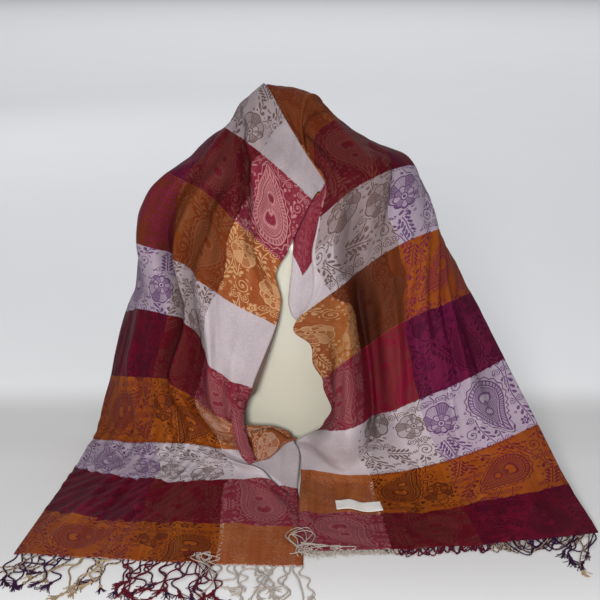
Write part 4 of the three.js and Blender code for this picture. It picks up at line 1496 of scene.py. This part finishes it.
class Hem:
    """One hem's fringe: its cords, loops and loose ends, in the order in which they are drawn."""

    def __init__(self, side, face, settings, colours):
        self.side = side
        self.face = face
        self.colours = colours
        self.spacing = settings.spacing / MM
        self.draw = random.Random(settings.seed + HEM_SEEDS[side])
        self.cords = Cords()

    def start(self, share):
        """A place at the hem's edge, just above the floor."""
        row = self.face[0]
        x, y, z = row[int(np.clip(share, 0, 1) * (len(row) - 1))]
        return np.array([x, y + 1.5, max(z - 0.8, 1.2)])

    def on_cloth(self, share, up):
        """A place on the cloth, some way up from the hem in mm."""
        row = self.face[round(up / self.spacing)]
        place = row[round(np.clip(share, 0, 1) * (len(row) - 1))]
        return place + (min(share, 0) * FOLDED_WIDTH / MM, 0, 1.5)

    def tints(self, share):
        if self.side == "right" and share > 0.6:
            share += 0.14
        return yarn_tints(share, self.colours, self.draw)

    def tied_cord(self, start, heading, shortest, longest, tints, wander):
        draw = self.draw
        length = draw.uniform(shortest, longest)
        path, end = wandering(start, heading, length, draw, wander, draw.uniform(0, 2.5))
        self.cords.twisted(path, CORD_RADIUS, tints)
        self.cords.knot(path[-1], KNOT_RADIUS, tints[0])
        self.cords.tassel(path[-1], end, draw.uniform(13, 21), tints[draw.randrange(2)], draw)

    def loops(self, share, tints):
        """Short loops of yarn, which grow looser towards the outer fold."""
        draw = self.draw
        loose = smoothstep(share, 0.28, 0.42)
        for _ in range(2 + round(2 * (1 - loose))):
            wide = 34 * smoothstep(share, 0.55, 0.72) * draw.random()
            wide += draw.uniform(4, 9 + 9 * loose)
            reach = draw.uniform(2, 5 + 4 * loose) + wide * draw.uniform(0.2, 0.75)
            first = self.start(share + draw.uniform(-0.015, 0.015))
            last = self.start(share + wide * MM / FOLDED_WIDTH)
            path = hem_loop(first, last, reach, draw.gauss(0, 3 + 3 * loose))
            self.cords.twisted(path, 0.6 + 0.4 * loose, tints)
            tints = self.tints(share)

    def fringe(self, count):
        for number in range(count):
            share = (number + 0.5 + self.draw.uniform(-0.25, 0.25)) / count
            tints = self.tints(share)
            if self.side == "left":
                heading = math.radians(-88 - 24 * share + self.draw.gauss(0, 12))
                self.tied_cord(self.start(share), heading, 62, 90, tints, 0.4)
            elif share > 0.88:
                heading = math.radians(-108 + self.draw.gauss(0, 9))
                self.tied_cord(self.start(share), heading, 44, 78, tints, 0.3)
            else:
                self.loops(share, tints)

    def loose_ends(self):
        draw = self.draw
        for share, rise, reach, count, tint in LOOSE_ENDS[self.side]:
            tint = np.array(getattr(self.colours, tint))
            for _ in range(count):
                sway = share + np.array([draw.gauss(0, 0.02) for _ in range(5)])
                top = rise * draw.uniform(0.55, 1.0)
                out = self.start(sway[4])
                out += (draw.gauss(8, 9), -reach * draw.uniform(0.4, 1.0), 0)
                out[2] = 1.4
                bend = self.start(sway[3]) + (draw.gauss(6, 5), -reach * 0.3, 1.5)
                path = curve_through((
                    self.start(sway[0]), self.on_cloth(sway[1] - 0.02, top * 0.6),
                    self.on_cloth(sway[2], top), self.on_cloth(sway[2] + 0.03, top * 0.75),
                    self.on_cloth(sway[3] + 0.02, top * 0.25), bend, out), 7)
                self.cords.twisted(path, LOOSE_RADIUS, [tint * draw.uniform(0.85, 1.1)] * 2)


class BuildFringe(bpy.types.Operator):
    """Knotted cords at both hems"""

    bl_idname = "shawl.build_fringe"
    bl_label = "Fringe"

    def execute(self, context):
        settings, colours = shawl_settings(context)
        yarn = make_fringe_yarn()
        left, _ = left_fall_grid(settings)
        right, _ = right_fall_grid(settings, left)
        for side, face in (("left", left), ("right", right[::-1])):
            hem = Hem(side, face, settings, colours)
            hem.fringe(round(FOLDED_WIDTH / settings.cord_spacing))
            hem.loose_ends()
            hem.cords.finish(f"knotted_fringe_{side}", yarn)
            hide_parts(f"fringe_{side}")
        return {"FINISHED"}


# The stage: places in metres from the shawl's middle on the floor, sizes in metres, power in watts.
FLOOR_REACH = 45.0
SKY_TINT = (0.94, 0.96, 1, 1)
SKY_STRENGTH = 0.14
CAMERA_LENS = 63
CAMERA_PLACE = (0, -1.495, 0.733)
CAMERA_TILT = 19
BACKDROP_PLACE = Vector((0, 6, 0))
LAMPS = (
    ("key light", (-0.25, -2.2, 0.95), 0.4, 41, (1, 0.985, 0.96)),
    ("fill light", (1.2, -2.0, 1.5), 1.4, 7, (0.96, 0.98, 1)),
    ("rear fill", (-1.3, 2.6, 1.7), 1.8, 7, (0.97, 0.985, 1)),
    ("back light", (0, 6.5, 5), 13, 500, (0.97, 0.985, 1)),
)
LAMP_AIM = Vector((0, 0, 0.25))


class BuildStage(bpy.types.Operator):
    """Pale floor, soft lights and the camera"""

    bl_idname = "shawl.build_stage"
    bl_label = "Stage"

    def execute(self, context):
        _, colours = shawl_settings(context)
        mesh = bpy.data.meshes.new("studio_floor")
        corners = [(x * FLOOR_REACH, y * FLOOR_REACH, 0)
                   for x, y in ((-1, -1), (1, -1), (1, 1), (-1, 1))]
        mesh.from_pydata(corners, [], [(0, 1, 2, 3)])
        mesh.materials.append(make_floor_paper(colours))
        add_object("studio_floor", mesh)

        low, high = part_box("bust_form")
        middle = (low + high) / 2
        spot = Vector((middle.x - FORM_CENTRE[0] * MM, middle.y, 0))
        data = bpy.data.cameras.new("studio camera")
        data.lens = CAMERA_LENS
        data.sensor_width = 36
        camera = add_object("studio camera", data)
        camera.location = spot + Vector(CAMERA_PLACE)
        camera.rotation_euler = (math.radians(90 - CAMERA_TILT), 0, 0)
        context.scene.camera = camera

        for name, place, size, power, tint in LAMPS:
            light = bpy.data.lights.new(name, "AREA")
            light.size = size
            light.energy = power
            light.color = tint
            lamp = add_object(name, light)
            lamp.location = spot + Vector(place)
            aim = BACKDROP_PLACE if name == "back light" else spot + LAMP_AIM
            lamp.rotation_euler = (aim - lamp.location).to_track_quat("-Z", "Y").to_euler()
        world = bpy.data.worlds.new("pale studio")
        world.use_nodes = True
        sky = world.node_tree.nodes["Background"].inputs
        sky["Color"].default_value = SKY_TINT
        sky["Strength"].default_value = SKY_STRENGTH
        context.scene.world = world
        context.scene.view_settings.view_transform = "Standard"
        return {"FINISHED"}


class ShawlPanel(bpy.types.Panel):
    """The shawl's sizes, colours and pieces"""

    bl_idname = "SHAWL_PT_pieces"
    bl_label = "Draped shawl"
    bl_space_type = "VIEW_3D"
    bl_region_type = "UI"
    bl_category = "Shawl"

    def draw(self, context):
        for settings in shawl_settings(context):
            box = self.layout.box()
            for name in settings.__annotations__:
                box.prop(settings, name)
        for step in BUILD_STEPS:
            self.layout.operator(step.bl_idname)


BUILD_STEPS = (BuildStage, BuildForm, BuildFalls, BuildUnderlayer, BuildLowerEdge, BuildTurnedEdge,
               BuildLabel, BuildFringe)
CLASSES = (ShawlDrape, ShawlColours, *BUILD_STEPS, ShawlPanel)


def register():
    for part in CLASSES:
        bpy.utils.register_class(part)
    bpy.types.Scene.shawl_drape = PointerProperty(type=ShawlDrape)
    bpy.types.Scene.shawl_colours = PointerProperty(type=ShawlColours)


def unregister():
    del bpy.types.Scene.shawl_colours
    del bpy.types.Scene.shawl_drape
    for part in reversed(CLASSES):
        bpy.utils.unregister_class(part)


def main():
    register()
    bpy.ops.shawl.build_stage()
    bpy.ops.shawl.build_form()
    bpy.ops.shawl.build_falls()
    bpy.ops.shawl.build_underlayer()
    bpy.ops.shawl.build_lower_edge()
    bpy.ops.shawl.build_turned_edge()
    bpy.ops.shawl.build_label()
    bpy.ops.shawl.build_fringe()


if __name__ == "__main__":
    main()
